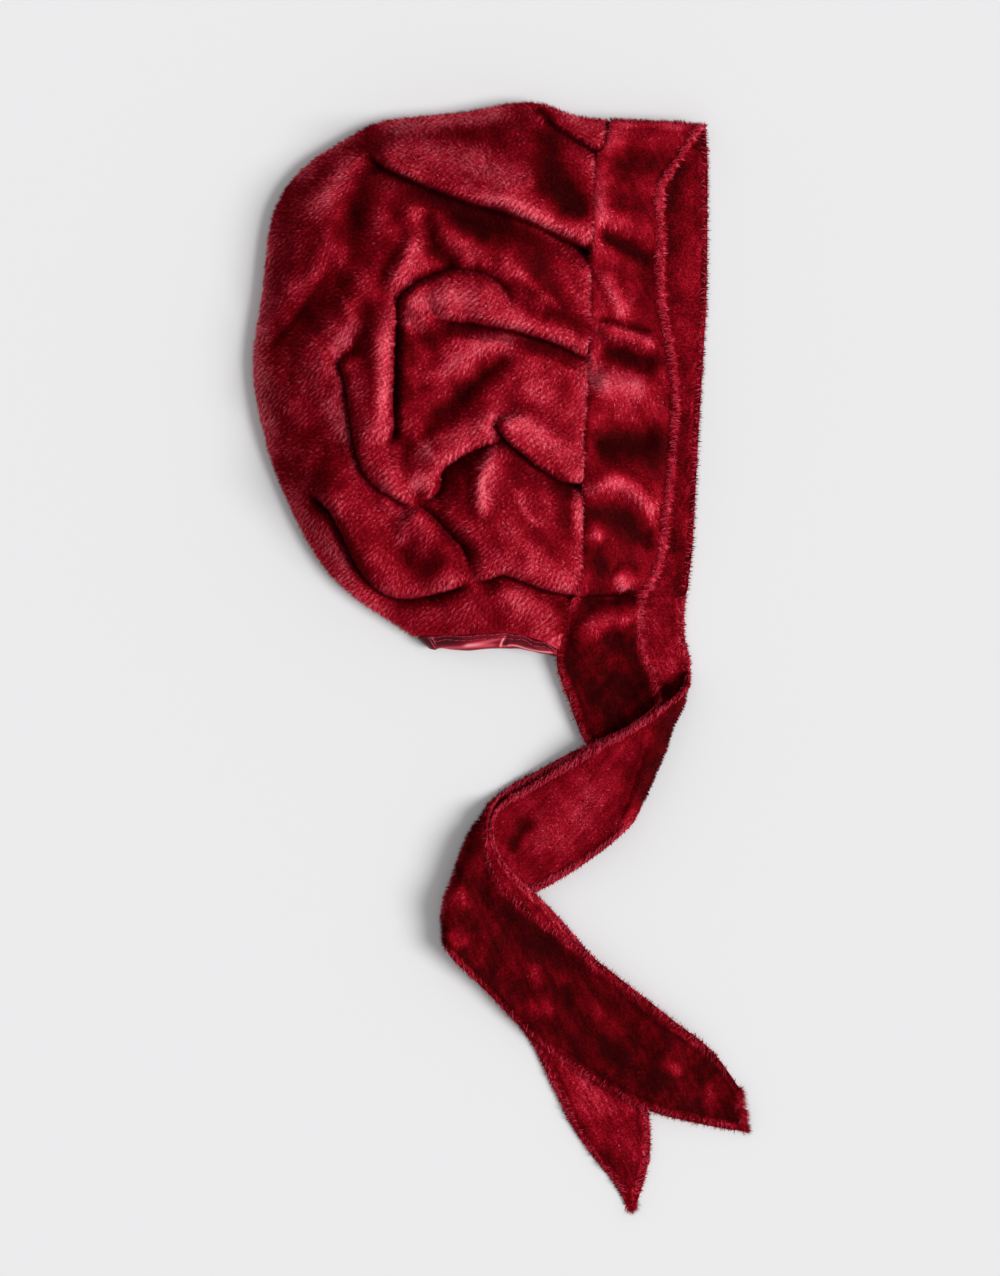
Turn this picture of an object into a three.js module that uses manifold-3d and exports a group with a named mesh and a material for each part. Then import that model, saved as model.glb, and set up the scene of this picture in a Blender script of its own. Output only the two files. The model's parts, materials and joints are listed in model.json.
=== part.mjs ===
// A plush bonnet with two long ties, lying on its side as it was put down on a table.
// Millimetres. +X points out of the face opening, +Y to the top of the head, +Z up from the table.
// The near half is the upper layer of cloth, and the far half lies flat on the table under it.
import * as THREE from 'three';
import { mergeVertices } from 'three/addons/utils/BufferGeometryUtils.js';
import Module from 'manifold-3d';

const wasm = await Module();
wasm.setup();

// Cloth
const PLUSH = 2.8; // plush velour with its pile
const SATIN = 1.6; // satin binding, folded over the edge
const SEAM_GAP = 0.6; // between the cut edges of two sewn pieces

// Folds of the band and the ties
const FOLD_STEPS = 8;
const STEPS_PER_ROW = 2; // between two rows of a table
const BAND_COLUMNS = 4; // across the band
const TIE_COLUMNS = 2; // across a tie or the binding
const FOLD_FLATNESS = 0.75; // how far a fold stands out, as a share of half its height

// The crown as it lies
const RIM_HEIGHT = 6; // its fold above the table, all round the back of the head
const RIM_ROUND = 17; // how far in the near half rises off that fold
const FLOOR_ROUND = 7; // how far in the far half comes down to the table
const DOME_RISE = 29; // the puff of the near half above the rim
const DOME_REACH = 58; // how far in from the outline the puff is full
const FACE_FALL = { from: 0, to: 62, share: 0.55 }; // the puff sinks towards the face, along X
const NAPE_FALL = { from: 75, to: -6, share: 0.62 }; // and towards the nape, along Y
const HEAD_CENTRE = [-30, 130]; // the middle of the crown, seen from above
const CREST_SHARE = 0.3; // a roll is highest this share of its width from its edge
const FLATTEST_HOLLOW = 1.2; // between the two halves where a crease presses the near half down
const STEEPEST_WALL = 2.4; // the most that a steep wall is thickened upright, in walls
const CREASE_STEP = 7; // how wide the drop from a roll's edge into its crease is
const LINING_INSET = 1.15; // how far inside the outline the hollow ends, in walls
const LINING_FROM = 0.7; // the hollow's plan shrinks by that inset from this share of the way out
const LINING_OVER = 0.25; // over this share of it

// Facets
const AROUND = 92;
const NEAR_RINGS = 22;
const FAR_RINGS = 4;
const PATH_STEPS = 20;
const SMALLEST_FACET = 0.03; // what the cuts leave smaller than this is joined with its neighbours

// The block that the crown is cut from reaches past the bag on the sides where nothing is cut
const BLOCK = { behind: -180, above: 300, napeEdge: [-60, -1], under: -10, height: 90 };

// The crown's outline from above, from the back of the nape round to the brow.
// The last five points run on past the seam and the nape, where the bag is cut open.
const CROWN_OUTLINE = [
  [-42, -1], [-83, 29], [-111, 79], [-123.5, 130], [-119.5, 170], [-112, 215], [-101, 235], [-80, 250],
  [-60, 257.5], [-20, 262.5], [18, 267.5], [38, 261], [56, 258.5],
  [82, 258], [86, 236], [86, -18], [30, -30], [-14, -22],
];

// Where the crown ends: the seam to the band from the brow down, then the nape's edge back to the rim
const SEAM_LINE = [
  [55.5, 259], [50, 244], [46, 236.5], [45, 195.5], [44, 169], [43, 140], [42.5, 119], [41, 80],
  [40.2, 38], [38.6, 27], [34.5, 20.5], [29, -6],
];
const NAPE_LINE = [[15, 0.5], [0, 2.5], [-15, 2.5], [-32, 2.3], [-48, 2.6]];

// Pleats and creases of the near half. The cloth on the left of each path is a roll that hangs over the
// cloth on its right: the roll stands up by rise over roll, and the other side sinks by drop over ditch.
// fadeIn and fadeOut are the shares of the path over which the crease opens and closes.
const CREASES = [
  { name: 'brow pleat', rise: 2.5, roll: 12, drop: 4, ditch: 9, fadeIn: 0.25, fadeOut: 0,
    path: [[21, 259], [33.5, 251.5], [48.5, 243]] },
  { name: 'upper pleat', rise: 5, roll: 22, drop: 7, ditch: 13, fadeIn: 0.12, fadeOut: 0,
    path: [[-65, 243], [-57, 234.5], [-44.5, 227.5], [-14, 215], [-1.5, 212], [21, 203.5], [44.5, 194]] },
  { name: 'bulge, upper side', rise: 3, roll: 14, drop: 4, ditch: 9, fadeIn: 0.3, fadeOut: 0.12,
    path: [[9, 162.5], [-4, 176.5], [-19, 181], [-37, 176], [-46, 169], [-51.5, 160]] },
  { name: 'second pleat', rise: 6, roll: 15, drop: 8, ditch: 12, fadeIn: 0.15, fadeOut: 0,
    path: [[-36, 158], [-17.5, 157], [0.5, 154], [18, 150], [30.5, 146], [43.5, 140]] },
  { name: 'roll, right side', rise: 4, roll: 9, drop: 9, ditch: 12, fadeIn: 0.12, fadeOut: 0.2,
    path: [[-53.5, 93], [-52, 104], [-53, 115.5], [-52.5, 131], [-52, 149], [-50, 168]] },
  { name: 'roll, left side', rise: 4, roll: 9, drop: 7, ditch: 12, fadeIn: 0.08, fadeOut: 0.1,
    path: [[-77.5, 139], [-73.5, 128], [-70.5, 111.5], [-68.5, 96.5], [-63, 80], [-53.5, 72.5], [-42, 65]] },
  { name: 'roll, lower end', rise: 5, roll: 13, drop: 9, ditch: 14, fadeIn: 0.15, fadeOut: 0.15,
    path: [[-40, 66], [-32, 74], [-31, 82], [-18, 92.5], [-3.5, 98], [4, 101]] },
  { name: 'third pleat', rise: 5, roll: 17, drop: 8, ditch: 12, fadeIn: 0.12, fadeOut: 0,
    path: [[-1, 109], [4, 99], [10.5, 93.5], [20, 86], [30, 80], [41.5, 78]] },
  { name: 'lower left puff', rise: 4, roll: 15, drop: 5, ditch: 11, fadeIn: 0.25, fadeOut: 0.15,
    path: [[-12, 37], [-18, 43.5], [-24, 49.5], [-31.5, 58], [-43, 66]] },
  { name: 'rim crease', rise: 5, roll: 18, drop: 6, ditch: 14, fadeIn: 0.15, fadeOut: 0.12,
    path: [[-98, 76], [-84, 66.5], [-75.5, 52.5], [-69, 38], [-60, 26.5], [-51.5, 22.5], [-42, 22.5],
      [-12, 29.5]] },
  { name: 'lower pleat', rise: 4, roll: 15, drop: 5, ditch: 12, fadeIn: 0.2, fadeOut: 0,
    path: [[-17, 29], [-5.5, 31.5], [1, 33.5], [10.5, 31], [22, 26.5], [40, 23]] },
];

// Soft ridges (height above 0) and valleys (below 0), alike on both sides of their paths
const WAVES = [
  { name: 'valley behind the crown', height: -6, width: 15,
    path: [[-66.5, 243], [-70, 220.5], [-72, 193.5], [-80, 176], [-100, 154], [-119, 136.5]] },
  { name: 'ridge above the roll', height: 4.5, width: 10,
    path: [[-44.5, 216], [-42.5, 193.5], [-47, 185], [-59.5, 167]] },
  { name: 'groove above the bulge', height: -7, width: 9,
    path: [[-41, 212], [-35.5, 196.5], [-26.5, 186.5], [-18, 181]] },
  { name: 'back of the roll', height: 4, width: 11,
    path: [[-61, 164], [-61.5, 129], [-60, 104], [-50, 81.5], [-38, 77]] },
  { name: 'valley under the bulge', height: -7, width: 11,
    path: [[-43, 108], [-27.5, 117.5], [-16, 129], [-3.5, 139.5], [10.5, 145]] },
  { name: 'ridge of the fan', height: 3.5, width: 8,
    path: [[0, 96.5], [-3.5, 83], [-6.5, 73.5], [-3.5, 62]] },
  { name: 'valley of the fan', height: -3, width: 10,
    path: [[32, 78], [33, 62], [32, 46]] },
];

// The band round the face, a row for each section: how far up the seam it lies, its hem edge from above,
// and the hem's height. It goes up the near half, over the top of the head, and down the far half.
const BAND_NEAR = [
  { seamY: 20.5, hem: [72.5, 20.5], lift: 8 },
  { seamY: 27, hem: [77.5, 29], lift: 8.5 },
  { seamY: 38, hem: [80, 40], lift: 9.5 },
  { seamY: 59, hem: [82, 59], lift: 10.5 },
  { seamY: 89, hem: [85, 87], lift: 10.5 },
  { seamY: 119, hem: [87, 119], lift: 11 },
  { seamY: 140, hem: [85, 139], lift: 13 },
  { seamY: 159, hem: [80, 159], lift: 10.5 },
  { seamY: 181, hem: [78.5, 181], lift: 11.5 },
  { seamY: 204, hem: [79, 202], lift: 10.5 },
  { seamY: 224, hem: [78, 221], lift: 11.5 },
  { seamY: 236.5, hem: [86, 235], lift: 11.5 },
  { seamY: 246.5, hem: [97.5, 249], lift: 11 },
];
const BAND_TOP = { seamY: 259.3, hem: [102.5, 258.5], nearLift: 11, farLift: 1.5 };
const BAND_FAR = [
  { seamY: 246.5, hem: [103.5, 244], lift: 1.5 },
  { seamY: 219, hem: [103.5, 219], lift: 1.5 },
  { seamY: 169, hem: [103, 169], lift: 1.5 },
  { seamY: 119, hem: [100, 119], lift: 1.5 },
  { seamY: 69, hem: [97.5, 69], lift: 1.5 },
  { seamY: 38, hem: [95, 38], lift: 1.5 },
  { seamY: 27, hem: [93.6, 27], lift: 1.5 },
  { seamY: 20.5, hem: [93, 20.5], lift: 1.5 },
];

// The ties, a row for each section: the two hems from above and their heights. A fold row lies where the
// tie turns over: the silhouette of the fold, with the heights at which the tie comes in and goes out.
const NEAR_TIE = [
  { rows: [
    { left: [35.4, 19.4], right: [72.5, 19.4], zLeft: 13, zRight: 8 },
    { left: [31.8, 2], right: [70.8, 6], zLeft: 10.4, zRight: 7.2 },
    { left: [30.2, -9.5], right: [72.5, -7], zLeft: 6.6, zRight: 6.4 },
    { left: [34, -30], right: [77.5, -17], zLeft: 5.2, zRight: 6 },
    { left: [42, -52], right: [79, -25], zLeft: 5, zRight: 6.4 },
  ] },
  { left: [67, -88], right: [82, -29.5], zIn: 5, zOut: 11.4, fold: true },
  { rows: [
    { left: [48, -100], right: [64, -44], zLeft: 7.5, zRight: 10.5 },
    { left: [24, -116], right: [43, -54], zLeft: 3, zRight: 6.6 },
    { left: [0, -130], right: [20, -67], zLeft: 1.6, zRight: 2.6 },
    { left: [-14, -140], right: [6, -75], zLeft: 1.6, zRight: 1.6 },
  ] },
  { left: [-30.5, -151], right: [-8, -83.5], zIn: 1.7, zOut: 15.4, fold: true },
  { rows: [
    { left: [-16.5, -166], right: [-6.5, -107.5], zLeft: 11, zRight: 15.2 },
    { left: [-1.5, -181], right: [2, -124.5], zLeft: 7.4, zRight: 14.6 },
    { left: [15, -199], right: [30, -146.5], zLeft: 5.2, zRight: 9 },
    { left: [44, -220], right: [74, -181], zLeft: 4.9, zRight: 5.2 },
    { left: [70, -234], right: [92, -195], zLeft: 5.2, zRight: 5 },
    { left: [86, -239], right: [102, -203], zLeft: 4, zRight: 3 },
    { left: [102, -243], right: [110, -209.5], zLeft: 1.8, zRight: 1.7 },
    { left: [123.5, -247], right: [119, -218.5], zLeft: 1.6, zRight: 1.6 },
  ] },
];
const FAR_TIE = [
  { rows: [
    { left: [41, 19.8], right: [93, 19.8], zLeft: 1.5, zRight: 1.5 },
    { left: [42, 0], right: [91.5, 2], zLeft: 1.5, zRight: 1.5 },
    { left: [47, -25], right: [94.5, -10], zLeft: 1.5, zRight: 1.5 },
    { left: [56, -60], right: [95, -17], zLeft: 1.5, zRight: 1.5 },
  ] },
  { left: [71.5, -91], right: [96.5, -21.5], zIn: 1.6, zOut: 17, fold: true },
  { rows: [
    { left: [54, -103], right: [75, -38], zLeft: 13, zRight: 16.5 },
    { left: [30, -120], right: [45, -53.5], zLeft: 8, zRight: 11.4 },
    { left: [4, -133], right: [20, -67], zLeft: 5.4, zRight: 6.4 },
    { left: [-12, -142], right: [5, -76], zLeft: 5, zRight: 5.2 },
  ] },
  { left: [-26, -148.5], right: [-4, -81.5], zIn: 5, zOut: 11.9, fold: true },
  { rows: [
    { left: [-16, -162], right: [-3.5, -99.5], zLeft: 7.4, zRight: 11.6 },
    { left: [-4.5, -176], right: [3.5, -114.5], zLeft: 3.8, zRight: 11 },
    { left: [7.5, -191], right: [22, -135], zLeft: 1.7, zRight: 5.2 },
    { left: [17, -204], right: [50, -165], zLeft: 1.6, zRight: 1.7 },
    { left: [25, -221], right: [66, -195], zLeft: 1.6, zRight: 1.6 },
    { left: [32, -236], right: [72.5, -228], zLeft: 1.6, zRight: 1.6 },
    { left: [44, -256], right: [75.5, -251], zLeft: 1.6, zRight: 1.6 },
    { left: [57.5, -271], right: [71.5, -271], zLeft: 1.6, zRight: 1.6 },
    { left: [64, -284], right: [67, -284], zLeft: 1.6, zRight: 1.6 },
  ] },
];

// The satin binding of the nape, a row for each section: crown edge, outer edge and height
const BINDING = [
  { rows: [
    { left: [28.5, -9.3], right: [28, -6.2], zLeft: 9.4, zRight: 10.6 },
    { left: [15, -5.5], right: [15, 0], zLeft: 9.2, zRight: 11 },
    { left: [0, -5.5], right: [0, 2], zLeft: 9.2, zRight: 11.6 },
    { left: [-15, -6], right: [-15, 1.5], zLeft: 9, zRight: 11 },
    { left: [-31, -5.5], right: [-33, 0.5], zLeft: 8.6, zRight: 9.6 },
  ] },
  { left: [-38.5, -4.5], right: [-43.5, -0.5], zIn: 8, zOut: 1, fold: true },
  { rows: [
    { left: [-29, -5.5], right: [-31, 0.3], zLeft: 1, zRight: 1 },
    { left: [-10, -5.5], right: [-10, 1.8], zLeft: 1, zRight: 1 },
    { left: [15, -5.5], right: [15, 0], zLeft: 1, zRight: 1 },
    { left: [27.5, -9.3], right: [27, -6.2], zLeft: 1, zRight: 1 },
  ] },
];

// Colours, as the cloth and the satin look in daylight
const PLUSH_COLOUR = 0x7a0d1e;
const TIE_COLOUR = 0x6e0a19;
const SATIN_COLOUR = 0x9a2438;

// How far out the seam between crown and band lies at a height up the head
function seamX(y) {
  const at = SEAM_LINE.findIndex(([, lineY]) => lineY <= y);
  const [x1, y1] = SEAM_LINE[Math.max(at, 1)];
  const [x0, y0] = SEAM_LINE[Math.max(at, 1) - 1];
  return x0 + (x1 - x0) * (y - y0) / (y1 - y0);
}

const smooth = (value) => {
  const held = Math.min(Math.max(value, 0), 1);
  return held * held * (3 - 2 * held);
};

const quarterRound = (share) => Math.sqrt(1 - (1 - Math.min(Math.max(share, 0), 1)) ** 2);

// A flat curve through points, as a list of short straight steps
function traced(points, steps, closed = false) {
  const knots = points.map(([x, y]) => new THREE.Vector3(x, y, 0));
  return new THREE.CatmullRomCurve3(knots, closed, 'centripetal').getSpacedPoints(steps);
}

// The nearest place of a traced path to a point: its distance, on which side the point lies (1 on the
// left, -1 on the right), and how far along the path it is
function nearest(line, x, y) {
  let best = { distance: Infinity, side: 1, along: 0 };
  for (let i = 0; i < line.length - 1; i += 1) {
    const dx = line[i + 1].x - line[i].x;
    const dy = line[i + 1].y - line[i].y;
    const px = x - line[i].x;
    const py = y - line[i].y;
    const share = Math.min(Math.max((px * dx + py * dy) / (dx * dx + dy * dy), 0), 1);
    const distance = Math.hypot(px - share * dx, py - share * dy);
    if (distance < best.distance) {
      best = { distance, side: Math.sign(dx * py - dy * px) || 1, along: (i + share) / (line.length - 1) };
    }
  }
  return best;
}

const outline = traced(CROWN_OUTLINE, AROUND, true);
for (const crease of CREASES) {
  crease.line = traced(crease.path, PATH_STEPS);
}
for (const wave of WAVES) {
  wave.line = traced(wave.path, PATH_STEPS);
}

// Height that one crease adds at a point
function creaseHeight(crease, x, y) {
  const { distance, side, along } = nearest(crease.line, x, y);
  const opening = crease.fadeIn > 0 ? smooth(along / crease.fadeIn) : 1;
  const closing = crease.fadeOut > 0 ? smooth((1 - along) / crease.fadeOut) : 1;
  const crest = CREST_SHARE * crease.roll;
  const over = quarterRound(distance / crest) * (1 - smooth((distance - crest) / (crease.roll - crest)));
  const under = 1 - smooth(distance / crease.ditch);
  const onRoll = smooth(0.5 + side * distance / CREASE_STEP);
  return opening * closing * (onRoll * crease.rise * over - (1 - onRoll) * crease.drop * under);
}

// Height that one ridge or valley adds at a point
function waveHeight(wave, x, y) {
  const { distance, along } = nearest(wave.line, x, y);
  const ends = smooth(along * 5) * smooth((1 - along) * 5);
  return ends * wave.height * (1 - smooth(distance / wave.width));
}

const fall = ({ from, to, share }, value) => 1 - share * smooth((value - from) / (to - from));

// How far the near half stands above the rim at a point, where depth is the distance in from the outline.
// Where creases meet, their rolls add up and the deepest of them counts.
function puff(x, y, depth) {
  const swell = 1 - (1 - Math.min(depth / DOME_REACH, 1)) ** 2;
  let rise = DOME_RISE * swell * fall(FACE_FALL, x) * fall(NAPE_FALL, y);
  const folds = CREASES.map((crease) => creaseHeight(crease, x, y));
  rise += folds.reduce((sum, height) => sum + Math.max(height, 0), Math.min(...folds, 0));
  rise += WAVES.reduce((sum, wave) => sum + waveHeight(wave, x, y), 0);
  return Math.max(rise, PLUSH / 2);
}

const depthAt = (x, y) => nearest([...outline, outline[0]], x, y).distance;

// The upper face of the near half at a point
function nearTop(x, y) {
  const depth = depthAt(x, y);
  return RIM_HEIGHT + puff(x, y, depth) * quarterRound(depth / RIM_ROUND);
}

// The underside of the near half, a wall's thickness inside the cloth, square to its slope
function nearUnderside(x, y, depth, wall) {
  const rise = puff(x, y, depth);
  const slope = Math.hypot(puff(x + 1, y, depth) - rise, puff(x, y + 1, depth) - rise);
  const upright = wall * Math.min(Math.hypot(1, slope), STEEPEST_WALL);
  const height = RIM_HEIGHT + (rise - upright) * quarterRound((depth - wall) / (RIM_ROUND - wall));
  return Math.max(height, wall + FLATTEST_HOLLOW);
}

// A ball pressed into the shape of the crown: the outside of the bag, or with a wall its inside. The
// upper rings make the near half, the lower rings the far half, and the ball's equator is the rim.
function pressedBall(wall) {
  const rings = NEAR_RINGS + FAR_RINGS;
  const ball = new THREE.SphereGeometry(1, AROUND, rings);
  const place = ball.attributes.position;
  const grid = ball.attributes.uv;
  const [cx, cy] = HEAD_CENTRE;
  for (let i = 0; i < place.count; i += 1) {
    const ring = Math.round((1 - grid.getY(i)) * rings);
    const near = ring <= NEAR_RINGS;
    const share = near ? ring / NEAR_RINGS : (rings - ring) / FAR_RINGS;
    const reach = Math.sin(share * Math.PI / 2);
    const edge = outline[(AROUND - Math.round(grid.getX(i) * AROUND)) % AROUND];
    const span = Math.hypot(edge.x - cx, edge.y - cy);
    const inset = reach - LINING_INSET * wall / span * smooth((reach - LINING_FROM) / LINING_OVER);
    const x = cx + (edge.x - cx) * inset;
    const y = cy + (edge.y - cy) * inset;
    const depth = share < 1 ? depthAt(x, y) : wall;
    let z;
    if (near) {
      z = wall > 0 ? nearUnderside(x, y, depth, wall) : nearTop(x, y);
    } else {
      z = wall + (RIM_HEIGHT - wall) * (1 - quarterRound((depth - wall) / (FLOOR_ROUND - wall)));
    }
    place.setXYZ(i, x, y, z);
  }
  return ball;
}

// A closed mesh as a solid that can be cut, and back
function solidOf(geometry) {
  const bare = geometry.clone();
  bare.deleteAttribute('normal');
  bare.deleteAttribute('uv');
  const merged = mergeVertices(bare);
  const corners = [];
  const index = merged.index.array;
  for (let i = 0; i < index.length; i += 3) {
    const [a, b, c] = [index[i], index[i + 1], index[i + 2]];
    if (a !== b && b !== c && a !== c) {
      corners.push(a, b, c);
    }
  }
  const vertProperties = new Float32Array(merged.attributes.position.array);
  return new wasm.Manifold(new wasm.Mesh({ numProp: 3, vertProperties, triVerts: new Uint32Array(corners) }));
}

function geometryOf(solid) {
  const mesh = solid.getMesh();
  const geometry = new THREE.BufferGeometry();
  geometry.setAttribute('position', new THREE.BufferAttribute(new Float32Array(mesh.vertProperties), 3));
  geometry.setIndex(new THREE.BufferAttribute(new Uint32Array(mesh.triVerts), 1));
  geometry.computeVertexNormals();
  return geometry;
}

// An upright block with the crown's plan, wider than the bag behind and above, cut at the seam and nape
function crownPlan() {
  const shape = new THREE.Shape();
  shape.moveTo(BLOCK.behind, BLOCK.above);
  shape.lineTo(SEAM_LINE[0][0], BLOCK.above);
  for (const [x, y] of [...SEAM_LINE, ...NAPE_LINE]) {
    shape.lineTo(x, y);
  }
  shape.lineTo(...BLOCK.napeEdge);
  shape.lineTo(BLOCK.behind, BLOCK.napeEdge[1]);
  shape.closePath();
  const block = new THREE.ExtrudeGeometry(shape, { depth: BLOCK.height, bevelEnabled: false });
  block.translate(0, 0, BLOCK.under);
  return block;
}

function crownGeometry() {
  const bag = solidOf(pressedBall(0));
  const hollow = solidOf(pressedBall(PLUSH));
  const cut = bag.subtract(hollow).intersect(solidOf(crownPlan()));
  return geometryOf(cut.simplify(SMALLEST_FACET));
}

// A run of cloth strip between two folds, as the two hems at each section
function runSections(rows, steps) {
  const left = rows.map((row) => new THREE.Vector3(...row.left, row.zLeft));
  const right = rows.map((row) => new THREE.Vector3(...row.right, row.zRight));
  const leftCurve = new THREE.CatmullRomCurve3(left, false, 'centripetal');
  const rightCurve = new THREE.CatmullRomCurve3(right, false, 'centripetal');
  const sections = [];
  for (let i = 0; i <= steps; i += 1) {
    sections.push([leftCurve.getPoint(i / steps), rightCurve.getPoint(i / steps)]);
  }
  return sections;
}

// The half turn of a fold, from the height where the strip comes in to the height where it goes out.
// back is a point of the strip before the fold, which says to which side it turns over.
function foldSections(fold, back, thickness) {
  const left = new THREE.Vector3(...fold.left, 0);
  const right = new THREE.Vector3(...fold.right, 0);
  const along = right.clone().sub(left).normalize();
  const outward = new THREE.Vector3(along.y, -along.x, 0);
  if (outward.dot(left.clone().sub(back)) < 0) {
    outward.negate();
  }
  const radius = Math.abs(fold.zOut - fold.zIn) / 2;
  const sections = [];
  for (let i = 0; i <= FOLD_STEPS; i += 1) {
    const angle = Math.PI * i / FOLD_STEPS;
    const bulge = FOLD_FLATNESS * radius * (Math.sin(angle) - 1);
    const shift = outward.clone().multiplyScalar(bulge - thickness / 2);
    shift.z = fold.zIn + (fold.zOut - fold.zIn) * (1 - Math.cos(angle)) / 2;
    sections.push([left.clone().add(shift), right.clone().add(shift)]);
  }
  return sections;
}

// All sections of a strip. Each run starts and ends in the straight edge of the fold beside it.
function stripSections(parts, thickness) {
  const flat = ([x, y]) => new THREE.Vector3(x, y, 0);
  const folds = new Map();
  parts.forEach((part, i) => {
    if (part.fold) {
      const rows = parts[i - 1].rows;
      folds.set(i, foldSections(part, flat(rows[rows.length - 1].left), thickness));
    }
  });
  const edgeRow = ([left, right]) => (
    { left: [left.x, left.y], right: [right.x, right.y], zLeft: left.z, zRight: right.z });
  const sections = [];
  parts.forEach((part, i) => {
    if (part.fold) {
      sections.push(...folds.get(i).slice(1, -1));
      return;
    }
    const rows = [...part.rows];
    if (folds.has(i - 1)) {
      rows.unshift(edgeRow(folds.get(i - 1)[FOLD_STEPS]));
    }
    if (folds.has(i + 1)) {
      rows.push(edgeRow(folds.get(i + 1)[0]));
    }
    sections.push(...runSections(rows, STEPS_PER_ROW * (rows.length - 1)));
  });
  return sections;
}

// A strip of cloth of even thickness through its sections, from a box with a slice for each section.
// Its hems are cut upright across each section, so that two pieces sewn edge to edge don't meet.
function stripGeometry(sections, thickness, across) {
  const last = sections.length - 1;
  const box = new THREE.BoxGeometry(last, 1, 1, last, across, 1);
  const place = box.attributes.position;
  const normals = sections.map(([left, right], i) => {
    const before = sections[Math.max(i - 1, 0)];
    const after = sections[Math.min(i + 1, last)];
    const travel = after[0].clone().add(after[1]).sub(before[0]).sub(before[1]);
    return right.clone().sub(left).setZ(0).cross(travel).normalize();
  });
  for (let i = 0; i < place.count; i += 1) {
    const at = Math.round(place.getX(i) + last / 2);
    const share = 0.5 - place.getY(i);
    const offset = normals[at].clone().multiplyScalar(thickness * place.getZ(i));
    const point = sections[at][0].clone().lerp(sections[at][1], share).add(offset);
    place.setXYZ(i, point.x, point.y, Math.max(point.z, 0));
  }
  return geometryOf(solidOf(box));
}

// The band's seam edge lies level with the crown's edge beside it
function bandParts() {
  const row = ({ seamY, hem, lift }, seamLift) => (
    { left: [seamX(seamY) + SEAM_GAP, seamY], right: hem, zLeft: seamLift, zRight: lift });
  const near = BAND_NEAR.map((each) => {
    const x = seamX(each.seamY);
    return row(each, nearTop(x, each.seamY) - PLUSH / 2);
  });
  const far = BAND_FAR.map((each) => row(each, each.lift));
  const { seamY, hem, nearLift, farLift } = BAND_TOP;
  const left = [seamX(seamY) + SEAM_GAP, seamY];
  return [{ rows: near }, { left, right: hem, zIn: nearLift, zOut: farLift, fold: true }, { rows: far }];
}


// The band's sections follow the seam exactly between their rows too
function bandGeometry() {
  const sections = stripSections(bandParts(), PLUSH);
  for (const [left] of sections) {
    left.x = seamX(left.y) + SEAM_GAP;
  }
  return stripGeometry(sections, PLUSH, BAND_COLUMNS);
}

const strip = (parts, thickness) => stripGeometry(stripSections(parts, thickness), thickness, TIE_COLUMNS);

function piece(name, geometry, colour, roughness) {
  const material = new THREE.MeshStandardMaterial({ color: colour, roughness, metalness: 0 });
  const mesh = new THREE.Mesh(geometry, material);
  mesh.name = name;
  return mesh;
}

const bonnet = new THREE.Group();
bonnet.add(piece('crown', crownGeometry(), PLUSH_COLOUR, 0.9));
bonnet.add(piece('band', bandGeometry(), PLUSH_COLOUR, 0.9));
bonnet.add(piece('near_tie', strip(NEAR_TIE, PLUSH), TIE_COLOUR, 0.9));
bonnet.add(piece('far_tie', strip(FAR_TIE, PLUSH), TIE_COLOUR, 0.9));
bonnet.add(piece('nape_binding', strip(BINDING, SATIN), SATIN_COLOUR, 0.4));

// The origin is the middle of the bonnet's box on the table
const box = new THREE.Box3().setFromObject(bonnet);
bonnet.position.set(-(box.min.x + box.max.x) / 2, -(box.min.y + box.max.y) / 2, -box.min.z);

export default bonnet;
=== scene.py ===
# %% [markdown]
# A hair drying cap: a gathered bonnet of crimson plush velour with two long ties. It lies on its side on a
# pale table, and the camera looks straight down on it. The near half of the cloth is the upper layer, and
# the far half lies flat under it. The CAD frame has the solid shapes. Here each cloth piece is made again
# from the same named sizes with a much finer mesh, and then gets its pile, its hems and its stitches.

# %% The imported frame
import json
import math
import bmesh
import bpy
import numpy as np
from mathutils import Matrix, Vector

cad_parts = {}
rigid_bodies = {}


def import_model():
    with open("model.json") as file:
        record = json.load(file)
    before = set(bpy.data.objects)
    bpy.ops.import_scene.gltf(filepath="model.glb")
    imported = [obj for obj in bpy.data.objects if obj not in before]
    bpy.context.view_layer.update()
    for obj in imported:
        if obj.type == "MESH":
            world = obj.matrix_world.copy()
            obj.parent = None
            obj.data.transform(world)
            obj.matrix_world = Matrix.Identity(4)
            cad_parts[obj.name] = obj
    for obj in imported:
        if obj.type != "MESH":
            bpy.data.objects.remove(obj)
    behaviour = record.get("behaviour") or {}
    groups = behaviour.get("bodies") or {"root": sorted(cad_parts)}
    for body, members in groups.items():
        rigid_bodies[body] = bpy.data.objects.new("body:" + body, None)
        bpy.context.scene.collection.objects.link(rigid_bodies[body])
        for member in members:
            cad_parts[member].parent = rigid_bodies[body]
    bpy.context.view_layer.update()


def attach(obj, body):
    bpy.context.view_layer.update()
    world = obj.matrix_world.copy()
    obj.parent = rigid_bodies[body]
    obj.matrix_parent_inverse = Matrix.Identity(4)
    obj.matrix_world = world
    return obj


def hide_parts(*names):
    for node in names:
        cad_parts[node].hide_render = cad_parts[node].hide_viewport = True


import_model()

# %% [markdown]
# All sizes below are real millimetres in the plan of the bonnet: X out of the face opening, Y to the top of
# the head, Z up from the table, with the zero point under the middle of the photograph. The frame's own
# zero point is the middle of the CAD box, so every finished mesh is moved over by PLAN_TO_FRAME and turned
# into metres in one place.

# %% From plan millimetres to the frame
PLAN_TO_FRAME = np.array([0.043, 8.181, 0.0])  # mm
MM = 0.001


def points_of(mesh):
    """The vertices of a mesh as rows of x, y and z, as they stand."""
    flat = np.empty(len(mesh.vertices) * 3)
    mesh.vertices.foreach_get("co", flat)
    return flat.reshape(-1, 3)


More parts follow.
